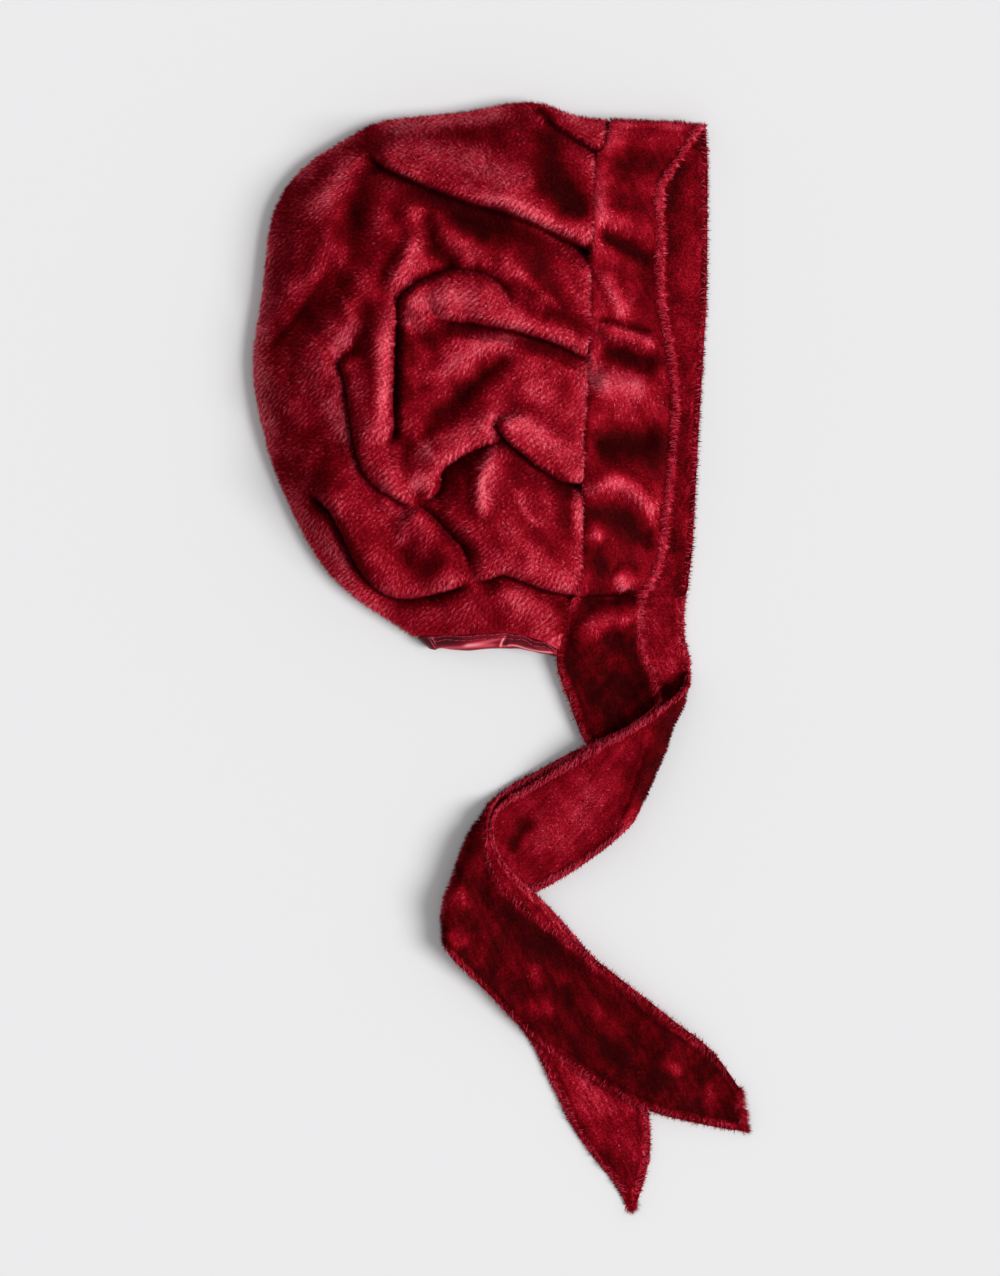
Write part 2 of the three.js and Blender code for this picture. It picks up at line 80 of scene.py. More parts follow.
def set_points(mesh, points):
    """Puts plan points in millimetres into a mesh, in metres in the frame."""
    mesh.vertices.foreach_set("co", ((points + PLAN_TO_FRAME) * MM).ravel())
    mesh.update()


def mesh_object(name, mesh, slot, *materials):
    """A finished mesh as a smooth object that rides on the only body. Its slot is not used."""
    mesh.polygons.foreach_set("use_smooth", [True] * len(mesh.polygons))
    made = bpy.data.objects.new(name, mesh)
    bpy.context.scene.collection.objects.link(made)
    for material in materials:
        mesh.materials.append(material)
    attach(made, "root")
    return made


print("the plan's zero point in the frame, mm", PLAN_TO_FRAME)

# %% [markdown]
# The photograph was taken from straight above with a long lens, at a scale of half a millimetre a pixel, so
# its long side is 638 mm of table. A camera 1.5 m up with that field of view repeats it.

# %% Camera
PHOTO_SIDE = 638.0  # mm of table along the long side of the photograph
CAMERA_HEIGHT = 1.5  # m
SENSOR = 36.0  # mm

scene = bpy.context.scene
scene.view_settings.view_transform = "Standard"
camera = bpy.data.objects.new("camera", bpy.data.cameras.new("camera"))
scene.collection.objects.link(camera)
camera.location = (PLAN_TO_FRAME[0] * MM, PLAN_TO_FRAME[1] * MM, CAMERA_HEIGHT)
camera.data.sensor_width = SENSOR
camera.data.lens = SENSOR * CAMERA_HEIGHT / (PHOTO_SIDE * MM)
camera.data.clip_start = 0.05
camera.data.clip_end = 50.0
scene.camera = camera
print("camera lens mm", round(camera.data.lens, 1))

# %% [markdown]
# Colours are picked as the eye sees them, and one function turns them into the numbers that shaders use. The
# others add a node, a material, and a ramp of shades, which turns a number kept in a mesh into a colour.

# %% Colours, nodes and materials
def srgb(code):
    """A colour picked as the eye sees it, as the linear colour that the shaders use."""
    parts = [int(code[i:i + 2], 16) / 255 for i in (1, 3, 5)]
    return tuple(p / 12.92 if p <= 0.04045 else ((p + 0.055) / 1.055) ** 2.4 for p in parts) + (1.0,)


def node(tree, kind, links=(), **settings):
    """Adds one shader node. A setting whose name is an input sets that socket, links join sockets by name."""
    made = tree.nodes.new(kind)
    for name, value in settings.items():
        if hasattr(made, name):
            setattr(made, name, value)
        else:
            made.inputs[name.replace("_", " ")].default_value = value
    for target, source, output in links:
        tree.links.new(source.outputs[output], made.inputs[target])
    return made


def surface(name, **settings):
    """A material with its Principled shader, whose uniform numbers are set on the shader's own sockets."""
    made = bpy.data.materials.new(name)
    made.use_nodes = True
    shader = made.node_tree.nodes["Principled BSDF"]
    for socket, value in settings.items():
        shader.inputs[socket.replace("_", " ")].default_value = value
    return made, made.node_tree, shader


def shade_ramp(tree, shades, source, output, span=(0.0, 1.0)):
    """A colour ramp whose shades are evenly spaced over a span of what another node gives."""
    ramp = node(tree, "ShaderNodeValToRGB", [("Fac", source, output)])
    stops = ramp.color_ramp.elements
    while len(stops) < len(shades):
        stops.new(0.5)
    for number, (stop, code) in enumerate(zip(stops, shades)):
        stop.position = span[0] + (span[1] - span[0]) * number / (len(shades) - 1)
        stop.color = srgb(code)
    return ramp


table_paint, _, _ = surface("matt_white_table", Base_Color=srgb("#e9e9ea"), Roughness=0.9)
print("the table's colour as shaders use it", [round(part, 3) for part in srgb("#e9e9ea")])

# %% [markdown]
# The cap lies on a plain matt table that fills every view. The light is one large soft source from the right,
# a little towards the nape, with pale light from all round.

# %% Table and light
TABLE_REACH = 20.0  # m
TABLE_DROP = 0.4  # mm that the table lies under the cloth
SKY_STRENGTH = 0.48
WINDOW_WAY = (-1.0, 0.3, -0.9)  # the way that the light travels
WINDOW_SPREAD = math.radians(30)  # how large the window looks from the table, which softens the shadows
WINDOW_STRENGTH = 2.75

table_shape = bmesh.new()
bmesh.ops.create_grid(table_shape, x_segments=1, y_segments=1, size=TABLE_REACH)
bmesh.ops.translate(table_shape, verts=table_shape.verts, vec=(0, 0, -TABLE_DROP * MM))
table_mesh = bpy.data.meshes.new("table")
table_shape.to_mesh(table_mesh)
table_shape.free()
table = bpy.data.objects.new("table", table_mesh)
table_mesh.materials.append(table_paint)
scene.collection.objects.link(table)

world = bpy.data.worlds.new("pale_room")
world.use_nodes = True
world.node_tree.nodes["Background"].inputs["Color"].default_value = srgb("#f8f8f9")
world.node_tree.nodes["Background"].inputs["Strength"].default_value = SKY_STRENGTH
scene.world = world

window = bpy.data.objects.new("window", bpy.data.lights.new("window", "SUN"))
window.data.energy = WINDOW_STRENGTH
window.data.angle = WINDOW_SPREAD
window.rotation_euler = Vector(WINDOW_WAY).to_track_quat("-Z", "Y").to_euler()
scene.collection.objects.link(window)
print("the window stands", round(math.degrees(math.asin(-Vector(WINDOW_WAY).normalized().z))), "degrees up")

# %% [markdown]
# Cloth that is bent, rolled and folded is drawn here with a few shapes that repeat: a soft step, a quarter
# round, a curve through a few named points, and the distance of every point of the cloth from such a curve.
# They work on whole arrays, so that tens of thousands of points take a moment.

# %% Soft steps and curves
KNOT_STEPS = 8  # steps of a drawn line between two of its points


def unit(vectors):
    """The same vectors with a length of one."""
    return vectors / np.maximum(np.linalg.norm(vectors, axis=1), 1e-9)[:, None]


def smooth(value):
    """A soft step from 0 to 1."""
    held = np.clip(value, 0, 1)
    return held * held * (3 - 2 * held)


def quarter_round(share):
    """A quarter of a circle, steep at 0 and level at 1."""
    return np.sqrt(1 - (1 - np.clip(share, 0, 1)) ** 2)


def curve_through(points, steps, closed=False):
    """A centripetal curve through points, with the same number of steps between each two."""
    knots = np.array(points, float)
    if closed:
        around = np.vstack([knots[-1:], knots, knots[:2]])
    else:
        around = np.vstack([2 * knots[0] - knots[1], knots, 2 * knots[-1] - knots[-2]])
    line = []
    for p0, p1, p2, p3 in zip(around, around[1:], around[2:], around[3:]):
        t0, t1, t2 = (max(np.linalg.norm(b - a), 1e-9) ** 0.5 for a, b in ((p0, p1), (p1, p2), (p2, p3)))
        start = ((p1 - p0) / t0 - (p2 - p0) / (t0 + t1) + (p2 - p1) / t1) * t1
        end = ((p2 - p1) / t1 - (p3 - p1) / (t1 + t2) + (p3 - p2) / t2) * t1
        for share in np.arange(steps) / steps:
            a, b = share ** 2, share ** 3
            line.append(p1 * (2 * b - 3 * a + 1) + start * (b - 2 * a + share)
                        + p2 * (3 * a - 2 * b) + end * (b - a))
    line.append(knots[0] if closed else knots[-1])
    return np.array(line)


def lengths_along(line):
    """How far along a line each of its points lies."""
    return np.concatenate([[0], np.cumsum(np.linalg.norm(np.diff(line, axis=0), axis=1))])


def evenly(line, steps):
    """The same line with equal steps along it."""
    lengths = lengths_along(line)
    wanted = np.linspace(0, lengths[-1], steps + 1)
    return np.stack([np.interp(wanted, lengths, line[:, k]) for k in range(line.shape[1])], axis=1)


def drawn(table, steps=24):
    """A table whose rows end in a path, with each path as an even line."""
    return {name: (*row, evenly(curve_through(path, KNOT_STEPS), steps))
            for name, (*row, path) in table.items()}


print("a quarter round at its start, middle and end", quarter_round(np.array([0, 0.5, 1])).round(2))

# %% [markdown]
# A fold's shape depends on how far a point lies from its line and on which side. What a fold doesn't explain
# is left to swells: sums of waves in seeded directions, which look as uneven as cloth does.

# %% Distances and swells
STROKE_FAN = math.radians(28)  # how far drawn-out swells fan out to each side
BRUSHED_FAN = math.radians(8)  # the same where the pile is brushed straight


def nearest(line, x, y):
    """For each point its distance from the line, its side (1 on the left), how far along it is and the
    unit direction that points to the line's right."""
    best = np.full(x.shape, np.inf)
    side, along = np.ones(x.shape), np.zeros(x.shape)
    right = np.zeros(x.shape + (2,))
    for i, (a, b) in enumerate(zip(line, line[1:])):
        dx, dy = b - a
        length = math.hypot(dx, dy)
        px, py = x - a[0], y - a[1]
        share = np.clip((px * dx + py * dy) / length ** 2, 0, 1)
        distance = np.hypot(px - share * dx, py - share * dy)
        closer = distance < best
        best = np.where(closer, distance, best)
        side = np.where(closer, np.where(dx * py - dy * px >= 0, 1.0, -1.0), side)
        along = np.where(closer, (i + share) / (len(line) - 1), along)
        right[closer] = (dy / length, -dx / length)
    return best, side, along, right


def swells(seed, wave, count=9, drawn_out=None, fan=STROKE_FAN):
    """A gentle random surface for cloth: a sum of long waves in seeded directions, about -1 to 1. With
    drawn_out, an angle, its swells are strokes that run that way."""
    dice = np.random.default_rng(seed)
    angle = dice.uniform(0, 2 * math.pi, count)
    if drawn_out is not None:
        angle = drawn_out + math.pi / 2 + (angle / math.pi - 1) * fan
    pitch = 2 * math.pi / (wave * dice.uniform(0.7, 1.6, count))
    phase = dice.uniform(0, 2 * math.pi, count)

    def height(x, y):
        waves = zip(angle, pitch, phase)
        total = sum(np.sin((x * math.cos(a) + y * math.sin(a)) * p + f) for a, p, f in waves)
        return total / math.sqrt(count)
    return height


sample = nearest(np.array([(0, 0), (10, 0)]), np.array([5.0]), np.array([2.0]))
print("a point 2 mm beside a line is", sample[0][0], "mm away, and its side is", sample[1][0])


# %% [markdown]
# The crown is one bag of plush, gathered where it is sewn to the band. Its shape was read off the
# photograph as an outline, the creases where one roll of cloth hangs over the next, and softer ridges and
# valleys. A crease has a roll on the left of its path that stands up by rise over the width roll, and a
# ditch on its right that sinks by drop over the width ditch.

# %% The crown's sizes, outline, creases and waves
RIM_HEIGHT = 7.0
RIM_ROUND = 17.0
FLOOR_ROUND = 7.0
DOME_RISE = 29.0
DOME_REACH = 58.0
FACE_FALL = (0.0, 62.0, 0.55)  # along X: from, to, share
NAPE_FALL = (75.0, -6.0, 0.62)  # along Y: from, to, share
HEAD_CENTRE = np.array([-30.0, 130.0])
CREST_SHARE = 0.3
ROLL_TAIL = 1.5  # a roll sinks back into the cloth over this many of its widths
CREASE_STEP = 1.6
ROLL_LEAN = (0.35, 1.1)  # shares of the crest and of the roll where a roll starts and stops to lean over
CREVICE = 5.0  # mm of the cloth beside a roll that lie in its crevice, in the dark
WAVE_FADE = 0.2  # share of its length in which each end of a wave or a stroke fades out
SWELLS = (0.9, 0.25)  # mm, how high the cloth's own long and short swells are
SWELL_REACH = 20.0  # mm in from the outline where they are full
LEAST_RISE = 1.4  # mm of the near half over its rim
SEAM_GAP = 0.6
RELIEF = 1.35  # the creases and waves below stand this much stronger

CROWN_OUTLINE = [
    (-42, -1), (-83, 29), (-111, 79), (-123.5, 130), (-119.5, 170), (-112, 215), (-99, 234), (-79, 248),
    (-60, 257.5), (-20, 262.5), (18, 267.5), (38, 261), (56, 258.5),
    (82, 258), (86, 236), (86, -18), (30, -30), (-14, -22),
]
SEAM_LINE = np.array([
    (55.5, 259), (50, 244), (46, 236.5), (45, 195.5), (44, 169), (43, 140), (42.5, 119), (41, 80),
    (40.2, 38), (38.6, 27), (34.5, 20.5), (29, -6),
])
NAPE_LINE = np.array([
    (29, -6), (22.5, -2), (15, 0.3), (7.5, 2.3), (0, 2.8), (-15, 1.8), (-35, 1.2), (-48, 1.8)])

# name: rise, roll, drop, ditch, fade in, fade out, overhang, path
CREASES = drawn({
    "brow pleat": (2.5, 12, 4, 9, 0.25, 0, 1.5, [(21, 259), (33.5, 251.5), (48.5, 243)]),
    "upper pleat": (5, 22, 10, 15, 0.08, 0, 3.0, [
        (-65, 243), (-57, 234.5), (-44.5, 227.5), (-14, 215), (-1.5, 212), (21, 203.5), (44.5, 194)]),
    "bulge, upper side": (3, 14, 5, 9, 0.3, 0.12, 2.5, [
        (9, 159.5), (-4, 172.5), (-19, 177), (-36, 172.5), (-45, 166), (-51, 158)]),
    "second pleat": (6, 15, 9, 12, 0.15, 0, 3.0, [
        (-36, 158), (-17.5, 157), (0.5, 154), (18, 150), (30.5, 146), (43.5, 140)]),
    "roll, right side": (4, 9, 8, 8, 0.12, 0.2, 2.5, [
        (-55.5, 93), (-54.5, 104), (-55, 115.5), (-54.5, 131), (-54, 149), (-52, 168)]),
    "roll, left side": (4, 9, 6, 7, 0.08, 0.1, 2.5, [
        (-77.5, 139), (-73.5, 128), (-70.5, 111.5), (-68.5, 96.5), (-63, 80), (-53.5, 72.5), (-42, 65)]),
    "roll, lower end": (5, 13, 6.5, 14, 0.15, 0.15, 3.0, [
        (-40, 66), (-32, 74), (-31, 82), (-18, 92.5), (-3.5, 98), (4, 101)]),
    "third pleat": (5, 17, 9, 12, 0.12, 0, 3.0, [
        (-1, 109), (4, 99), (10.5, 93.5), (20, 86), (30, 80), (41.5, 78)]),
    "lower left puff": (4, 15, 6, 11, 0.25, 0.15, 2.5, [
        (-15, 36), (-21, 43), (-27, 49.5), (-34, 57), (-44, 65)]),
    "rim crease": (5, 18, 6, 10, 0.15, 0.12, 3.0, [
        (-98, 76), (-84, 66.5), (-75.5, 52.5), (-69, 38), (-60, 26.5), (-51.5, 22.5), (-42, 22.5),
        (-12, 29.5)]),
    "lower pleat": (4, 15, 6, 12, 0.2, 0, 2.5, [
        (-17, 29), (-5.5, 31.5), (1, 33.5), (10.5, 31), (22, 26.5), (40, 23)]),
})

# name: height, width, path
WAVES = drawn({
    "valley behind the crown": (-3.5, 15, [
        (-66.5, 243), (-70, 220.5), (-72, 193.5), (-80, 176), (-100, 154), (-119, 136.5)]),
    "ridge above the roll": (3.5, 8, [(-42, 217), (-41, 196), (-46, 184), (-57, 167)]),
    "groove above the bulge": (-5, 9, [(-41, 212), (-35.5, 196.5), (-26.5, 186.5), (-18, 181)]),
    "back of the roll": (4, 11, [(-61, 164), (-61.5, 129), (-60, 104), (-50, 81.5), (-38, 77)]),
    "valley under the bulge": (-2.8, 10, [(-43, 106), (-27, 112.5), (-15, 124), (-3, 134.5), (10.5, 142)]),
    "ridge of the fan": (3.5, 7, [(-2, 97), (-7, 83), (-10, 73.5), (-7, 60)]),
    "valley of the fan": (-3, 10, [(32, 78), (33, 62), (32, 46)]),
})
print("creases", len(CREASES), "ridges and valleys", len(WAVES))

# %% [markdown]
# The height of the near half is a puffed dome that sinks towards the face and the nape, plus the creases
# and waves. A roll of plush hangs over its ditch, which a height alone can't show, so the cloth on the roll
# is also pushed sideways over the ditch by the crease's overhang.

# %% The height of the crown and the overhang of its rolls
outline = evenly(curve_through(CROWN_OUTLINE, 24, closed=True), 240)
crown_swell = swells(seed=3, wave=26)
crown_ripple = swells(seed=4, wave=9)


def seam_x(y):
    """How far out the seam between crown and band lies at a height up the head."""
    return np.interp(y, SEAM_LINE[::-1, 1], SEAM_LINE[::-1, 0])


def fall(limits, value):
    """How much is left of the dome where it sinks towards the face or the nape."""
    start, end, share = limits
    return 1 - share * smooth((value - start) / (end - start))


def creased(x, y):
    """Height and sideways push of all creases at each point, and how deep it lies in a crevice, 0 to 1."""
    highs, lows, crevice = np.zeros(x.shape), np.zeros(x.shape), np.zeros(x.shape)
    push = np.zeros(x.shape + (2,))
    for rise, roll, drop, ditch, fade_in, fade_out, overhang, line in CREASES.values():
        distance, side, along, right = nearest(line, x, y)
        ends = smooth(along / fade_in) if fade_in else 1.0
        ends = ends * (smooth((1 - along) / fade_out) if fade_out else 1.0)
        crest = CREST_SHARE * roll
        over = quarter_round(distance / crest) * (1 - smooth((distance - crest) / (ROLL_TAIL * roll - crest)))
        under = 1 - smooth(distance / ditch)
        on_roll = smooth(0.5 + side * distance / CREASE_STEP)
        highs += np.maximum(ends * on_roll * rise * over, 0)
        lows = np.minimum(lows, -ends * (1 - on_roll) * drop * under)
        lean = smooth(distance / (ROLL_LEAN[0] * crest)) * (1 - smooth(distance / (ROLL_LEAN[1] * roll)))
        lean = ends * on_roll * lean
        push += right * (lean * overhang)[:, None]
        crevice = np.maximum(crevice, ends * (1 - on_roll) * (1 - smooth(2 * distance / CREVICE - 1)))
    return highs + lows, push, crevice


def waved(waves, x, y):
    """Height of ridges and valleys at each point."""
    total = np.zeros(x.shape)
    for height, width, line in waves.values():
        distance, _, along, _ = nearest(line, x, y)
        ends = smooth(along / WAVE_FADE) * smooth((1 - along) / WAVE_FADE)
        total += ends * height * (1 - smooth(distance / width))
    return total


def near_half(x, y, depth):
    """Height of the outside of the near half, its sideways push and its crevices."""
    swell = 1 - (1 - np.clip(depth / DOME_REACH, 0, 1)) ** 2
    rise = DOME_RISE * swell * fall(FACE_FALL, x) * fall(NAPE_FALL, y)
    fold, push, crevice = creased(x, y)
    rise = rise + RELIEF * (fold + waved(WAVES, x, y))
    swells_here = SWELLS[0] * crown_swell(x, y) + SWELLS[1] * crown_ripple(x, y)
    rise = rise + smooth(depth / SWELL_REACH) * swells_here
    rim = quarter_round(depth / RIM_ROUND)
    return RIM_HEIGHT + np.maximum(rise, LEAST_RISE) * rim, push * rim[:, None], crevice


def near_height(x, y):
    """Height of the near half's outside at one point."""
    x, y = np.array([float(x)]), np.array([float(y)])
    return near_half(x, y, nearest(outline, x, y)[0])[0][0]


print("height at the middle of the head, mm", round(near_height(*HEAD_CENTRE), 1))

# %% [markdown]
# The crown's mesh starts as a UV sphere. Its upper rings are pressed into the near half and its lower rings
# into the far half on the table, and its equator becomes the fold round the back of the head. What reaches
# past the seam or the nape is drawn back to that line, and the faces that fall flat there are taken away,
# which leaves the bag open at the face and the nape.

# %% The crown
CROWN_AROUND = 360
CROWN_NEAR_RINGS = 112
CROWN_FAR_RINGS = 14
GROUND = 1.3  # mm, the knitted ground under the pile
PILE_ROOM = 1.5  # mm that the ground stays inside the outline, for the pile that stands on it
SEAM_DIP = 2.2  # mm, how deep the sewn seam pulls the cloth in
SEAM_DIP_REACH = 4.5  # mm
SEAM_HOLD = 3.0  # mm beside the seam in which rolls can't lean over
RIM_CROWDING = 1.35  # how much the rings crowd together towards the rim


def nape_y(x):
    """How far down the nape's edge lies, at a distance out from the back of the head."""
    return np.interp(x, NAPE_LINE[::-1, 0], NAPE_LINE[::-1, 1])


def crown_mesh():
    """The open bag, with how deep each of its points lies in a crevice."""
    rings = CROWN_NEAR_RINGS + CROWN_FAR_RINGS
    shape = bmesh.new()
    bmesh.ops.create_uvsphere(shape, u_segments=CROWN_AROUND, v_segments=rings, radius=1.0)
    mesh = bpy.data.meshes.new("crown_cloth")
    shape.to_mesh(mesh)
    ball = points_of(mesh)
    ring = np.arccos(np.clip(ball[:, 2], -1, 1)) / math.pi * rings
    near = ring <= CROWN_NEAR_RINGS + 0.01
    share = np.where(near, ring / CROWN_NEAR_RINGS, (rings - ring) / CROWN_FAR_RINGS)
    reach = 1 - (1 - np.clip(share, 0, 1)) ** RIM_CROWDING
    turn = (1 - np.arctan2(ball[:, 1], ball[:, 0]) / (2 * math.pi)) % 1.0 * (len(outline) - 1)
    edge = np.stack([np.interp(turn, np.arange(len(outline)), outline[:, k]) for k in (0, 1)], axis=1)
    edge -= PILE_ROOM * unit(edge - HEAD_CENTRE)
    flat = HEAD_CENTRE + (edge - HEAD_CENTRE) * reach[:, None]
    x, y = flat[:, 0], flat[:, 1]
    past_seam = x > seam_x(y)
    x = np.where(past_seam, seam_x(y), x)
    past_nape = y < nape_y(x)
    y = np.where(past_nape, nape_y(x), y)
    depth = nearest(outline, x, y)[0]
    top, push, crevice = near_half(x, y, depth)
    from_seam = seam_x(y) - x
    top -= SEAM_DIP * (1 - quarter_round(from_seam / SEAM_DIP_REACH))
    push *= smooth(from_seam / SEAM_HOLD)[:, None]
    under = GROUND + (RIM_HEIGHT - GROUND) * (1 - quarter_round((depth - GROUND) / (FLOOR_ROUND - GROUND)))
    points = np.stack([x + push[:, 0] * near, y + push[:, 1] * near, np.where(near, top, under)], axis=1)
    set_points(mesh, points)
    mesh.attributes.new("crevice", "FLOAT", "POINT")
    mesh.attributes["crevice"].data.foreach_set("value", crevice * near)
    outside = past_seam | past_nape
    shape.clear()
    shape.from_mesh(mesh)
    shape.faces.ensure_lookup_table()
    gone = [face for face in shape.faces if all(outside[v.index] for v in face.verts)]
    bmesh.ops.delete(shape, geom=gone, context="FACES")
    bmesh.ops.recalc_face_normals(shape, faces=shape.faces)
    shape.to_mesh(mesh)
    shape.free()
    return mesh


crown_cloth = crown_mesh()
print("crown", len(crown_cloth.vertices), "vertices", len(crown_cloth.polygons), "faces")

# %% [markdown]
# The band and the ties are long strips. A table gives their hems, seen from above, with the height of each
# hem: left x, left y, right x, right y, left height, right height. A row marked "fold" is where the strip
# turns over: the silhouette of the fold, with the heights at which the strip comes in and goes out.

# %% The ties' rows
PLUSH = 2.8  # mm, cloth with its pile, which the folds lie that far apart for
SATIN = 1.6
FOLD_STEPS = 14
ROW_STEPS = 12
FOLD_FLATNESS = 0.75
HEM_SLANT = 2.0  # the most that a hem may run along a fold, for each millimetre away from it

NEAR_TIE = [
    (35.2, 20.3, 72.5, 20.3, 13, 8),
    (31.8, 2, 70.8, 6, 10.4, 7.2),
    (27.8, -11, 72.5, -7, 6.6, 6.4),
    (34, -30, 77.5, -17, 5.2, 6),
    (42, -52, 79, -25, 5, 6.4),
    ("fold", 67, -88, 82, -29.5, 5, 11.4),
    (48, -100, 64, -44, 7.5, 10.5),
    (24, -116, 43, -53.5, 3, 6.6),
    (0, -130, 20.5, -65.5, 1.6, 2.6),
    (-14, -140, 5, -74, 1.6, 1.6),
    ("fold", -30.5, -151, -8, -83.5, 1.7, 15.4),
    (-16.5, -166, -6.5, -107.5, 11, 15.2),
    (-1.5, -181, 2, -124.5, 7.4, 14.6),
    (15, -199, 30, -146.5, 5.2, 9),
    (44, -220, 74, -181, 4.9, 5.2),
    (70, -234, 92, -195, 5.2, 5),
    (86, -239, 102, -203, 4, 3),
    (102, -243, 109, -210, 1.8, 1.7),
    (122.5, -247, 119.5, -226, 1.6, 1.6),
]
FAR_TIE = [
    (41, 21, 93, 21, 1.5, 1.5),
    (42, 0, 91.5, 2, 1.5, 1.5),
    (47, -25, 94.5, -10, 1.5, 1.5),
    (56, -60, 95, -17, 1.5, 1.5),
    ("fold", 69.8, -88, 96.5, -21.5, 1.6, 15),
    (54, -103, 75, -38, 12.6, 14.8),
    (30, -120, 45, -55, 8, 11.4),
    (4, -133, 20, -70.5, 5.4, 6.4),
    (-12, -142, 5, -79, 5, 5.2),
    ("fold", -26, -148.5, -4.5, -85, 5, 11.9),
    (-16, -162, -3.5, -99.5, 7.4, 11.6),
    (-4.5, -176, 3.5, -114.5, 3.8, 11),
    (7.5, -191, 25, -134, 1.7, 5.2),
    (17, -204, 50, -165, 1.6, 1.7),
    (25, -221, 66, -195, 1.6, 1.6),
    (32, -236, 72.5, -228, 1.6, 1.6),
    (44, -256, 75.5, -251, 1.6, 1.6),
    (57.5, -271, 71.5, -271, 1.6, 1.6),
    (64, -284, 67, -284, 1.6, 1.6),
]
print("rows of the near and the far tie", len(NEAR_TIE), len(FAR_TIE))

# %% [markdown]
# The binding has rows of the same kind. The band's rows are shorter, because its seam edge follows the
# crown's edge.

# %% The binding's and the band's rows
BINDING = [
    (28.5, -9.6, 28, -6.2, 9.4, 10.6),
    (22, -7.6, 22, -2, 9.4, 10.8),
    (12, -5.8, 12, 1, 9.2, 11),
    (0, -5.2, 0, 2.5, 9.2, 11.6),
    (-15, -5.6, -15, 1.5, 9, 11),
    (-31, -5.5, -33, 0.5, 8.6, 9.6),
    ("fold", -38.5, -4.5, -43.5, -0.5, 8, 1),
    (-29, -5.5, -31, 0.3, 1, 1),
    (-10, -5.5, -10, 1.8, 1, 1),
    (15, -5.5, 15, 0, 1, 1),
    (27.5, -9.3, 27, -6.2, 1, 1),
]

# The band: how far up the seam the row lies, its hem from above, and the hem's height
BAND_NEAR = [
    (20.5, 72.5, 20.5, 8), (27, 77.5, 29, 8.5), (38, 81.5, 40, 9.5), (59, 84, 59, 10.5), (89, 87, 87, 10.5),
    (119, 89, 119, 11), (140, 87.5, 139, 13), (159, 82.5, 159, 10.5), (181, 81, 181, 11.5),
    (204, 81.5, 202, 10.5), (224, 80.5, 221, 11.5), (236.5, 88, 235, 11.5), (246.5, 97.5, 249, 11),
]
BAND_TOP = (258.6, 102.5, 256.8, 11, 1.5)  # seam, hem from above, near height, far height
BAND_FAR = [
    (246.5, 103.5, 244, 1.5), (219, 103.5, 219, 1.5), (169, 103, 169, 1.5), (119, 100, 119, 1.5),
    (69, 97.5, 69, 1.5), (38, 95, 38, 1.5), (27, 93.6, 27, 1.5), (20.5, 93, 20.5, 1.5),
]


def band_rows():
    """The band's rows like those of the ties. Its seam edge lies level with the crown's edge beside it."""
    rows = []
    for seam_y, hem_x, hem_y, height in BAND_NEAR:
        seam, level = seam_x(seam_y), near_height(seam_x(seam_y), seam_y) - PLUSH / 2
        rows.append((seam + SEAM_GAP, seam_y, hem_x, hem_y, level, height))
    seam_y, hem_x, hem_y, near_level, far_level = BAND_TOP
    rows.append(("fold", seam_x(seam_y) + SEAM_GAP, seam_y, hem_x, hem_y, near_level, far_level))
    for seam_y, hem_x, hem_y, height in BAND_FAR:
        rows.append((seam_x(seam_y) + SEAM_GAP, seam_y, hem_x, hem_y, height, height))
    return rows


print("rows of the band and the binding", len(band_rows()), len(BINDING))

# %% [markdown]
# Each strip is worked out as many sections, a section being the two points of its hems. Between folds the
# hems are smooth curves through the rows. At a fold they go round a half turn, which is flatter than a
# circle, as a fold of plush is. A section also knows which run of the strip it belongs to, counted in folds.

# %% Sections of a folded strip
def half_turn(row, before, after, thickness):
    """The sections of one fold, between the rows before and after it. The cloth goes out to the fold's
    silhouette and comes back, and its two ends stay on the lines of the hems."""
    corners = [np.array(row[1:3]), np.array(row[3:5])]
    z_in, z_out = row[5:]
    along = (corners[1] - corners[0]) / np.linalg.norm(corners[1] - corners[0])
    outward = np.array([along[1], -along[0]])
    if outward @ (corners[0] - np.array(before[0:2])) < 0:
        outward = -outward
    sections = []
    for angle in np.linspace(0, math.pi, FOLD_STEPS + 1):
        back = thickness / 2 + FOLD_FLATNESS * abs(z_out - z_in) / 2 * (1 - math.sin(angle))
        next_row = before if angle < math.pi / 2 else after
        height = z_in + (z_out - z_in) * (1 - math.cos(angle)) / 2
        section = []
        for corner, first in zip(corners, (0, 2)):
            hem = np.array(next_row[first:first + 2]) - corner
            slant = (hem @ along) / max(-(hem @ outward), 1e-6)
            spot = corner - outward * back + along * back * np.clip(slant, -HEM_SLANT, HEM_SLANT)
            section.append((spot[0], spot[1], height))
        sections.append(section)
    return np.array(sections)


def strip_sections(rows, thickness, steps=ROW_STEPS):
    """All sections of a strip, and the number of folds before each."""
    runs, folds = [[]], []
    for row, after in zip(rows, rows[1:] + rows[-1:]):
        if row[0] == "fold":
            folds.append(half_turn(row, runs[-1][-1], after, thickness))
            runs.append([])
        else:
            runs[-1].append(row)
    sections, passed = [], []
    for i, run in enumerate(runs):
        hems = [((r[0], r[1], r[4]), (r[2], r[3], r[5])) for r in run]
        if i > 0:
            hems.insert(0, tuple(folds[i - 1][-1]))
        if i < len(folds):
            hems.append(tuple(folds[i][0]))
        left, right = (curve_through([hem[k] for hem in hems], steps) for k in (0, 1))
        sections.append(np.stack([left, right], axis=1))
        passed.append(np.full(len(left), float(i)))
        if i < len(folds):
            sections.append(folds[i][1:-1])
            passed.append(np.full(FOLD_STEPS - 1, i + 0.5))
    return np.concatenate(sections), np.concatenate(passed)


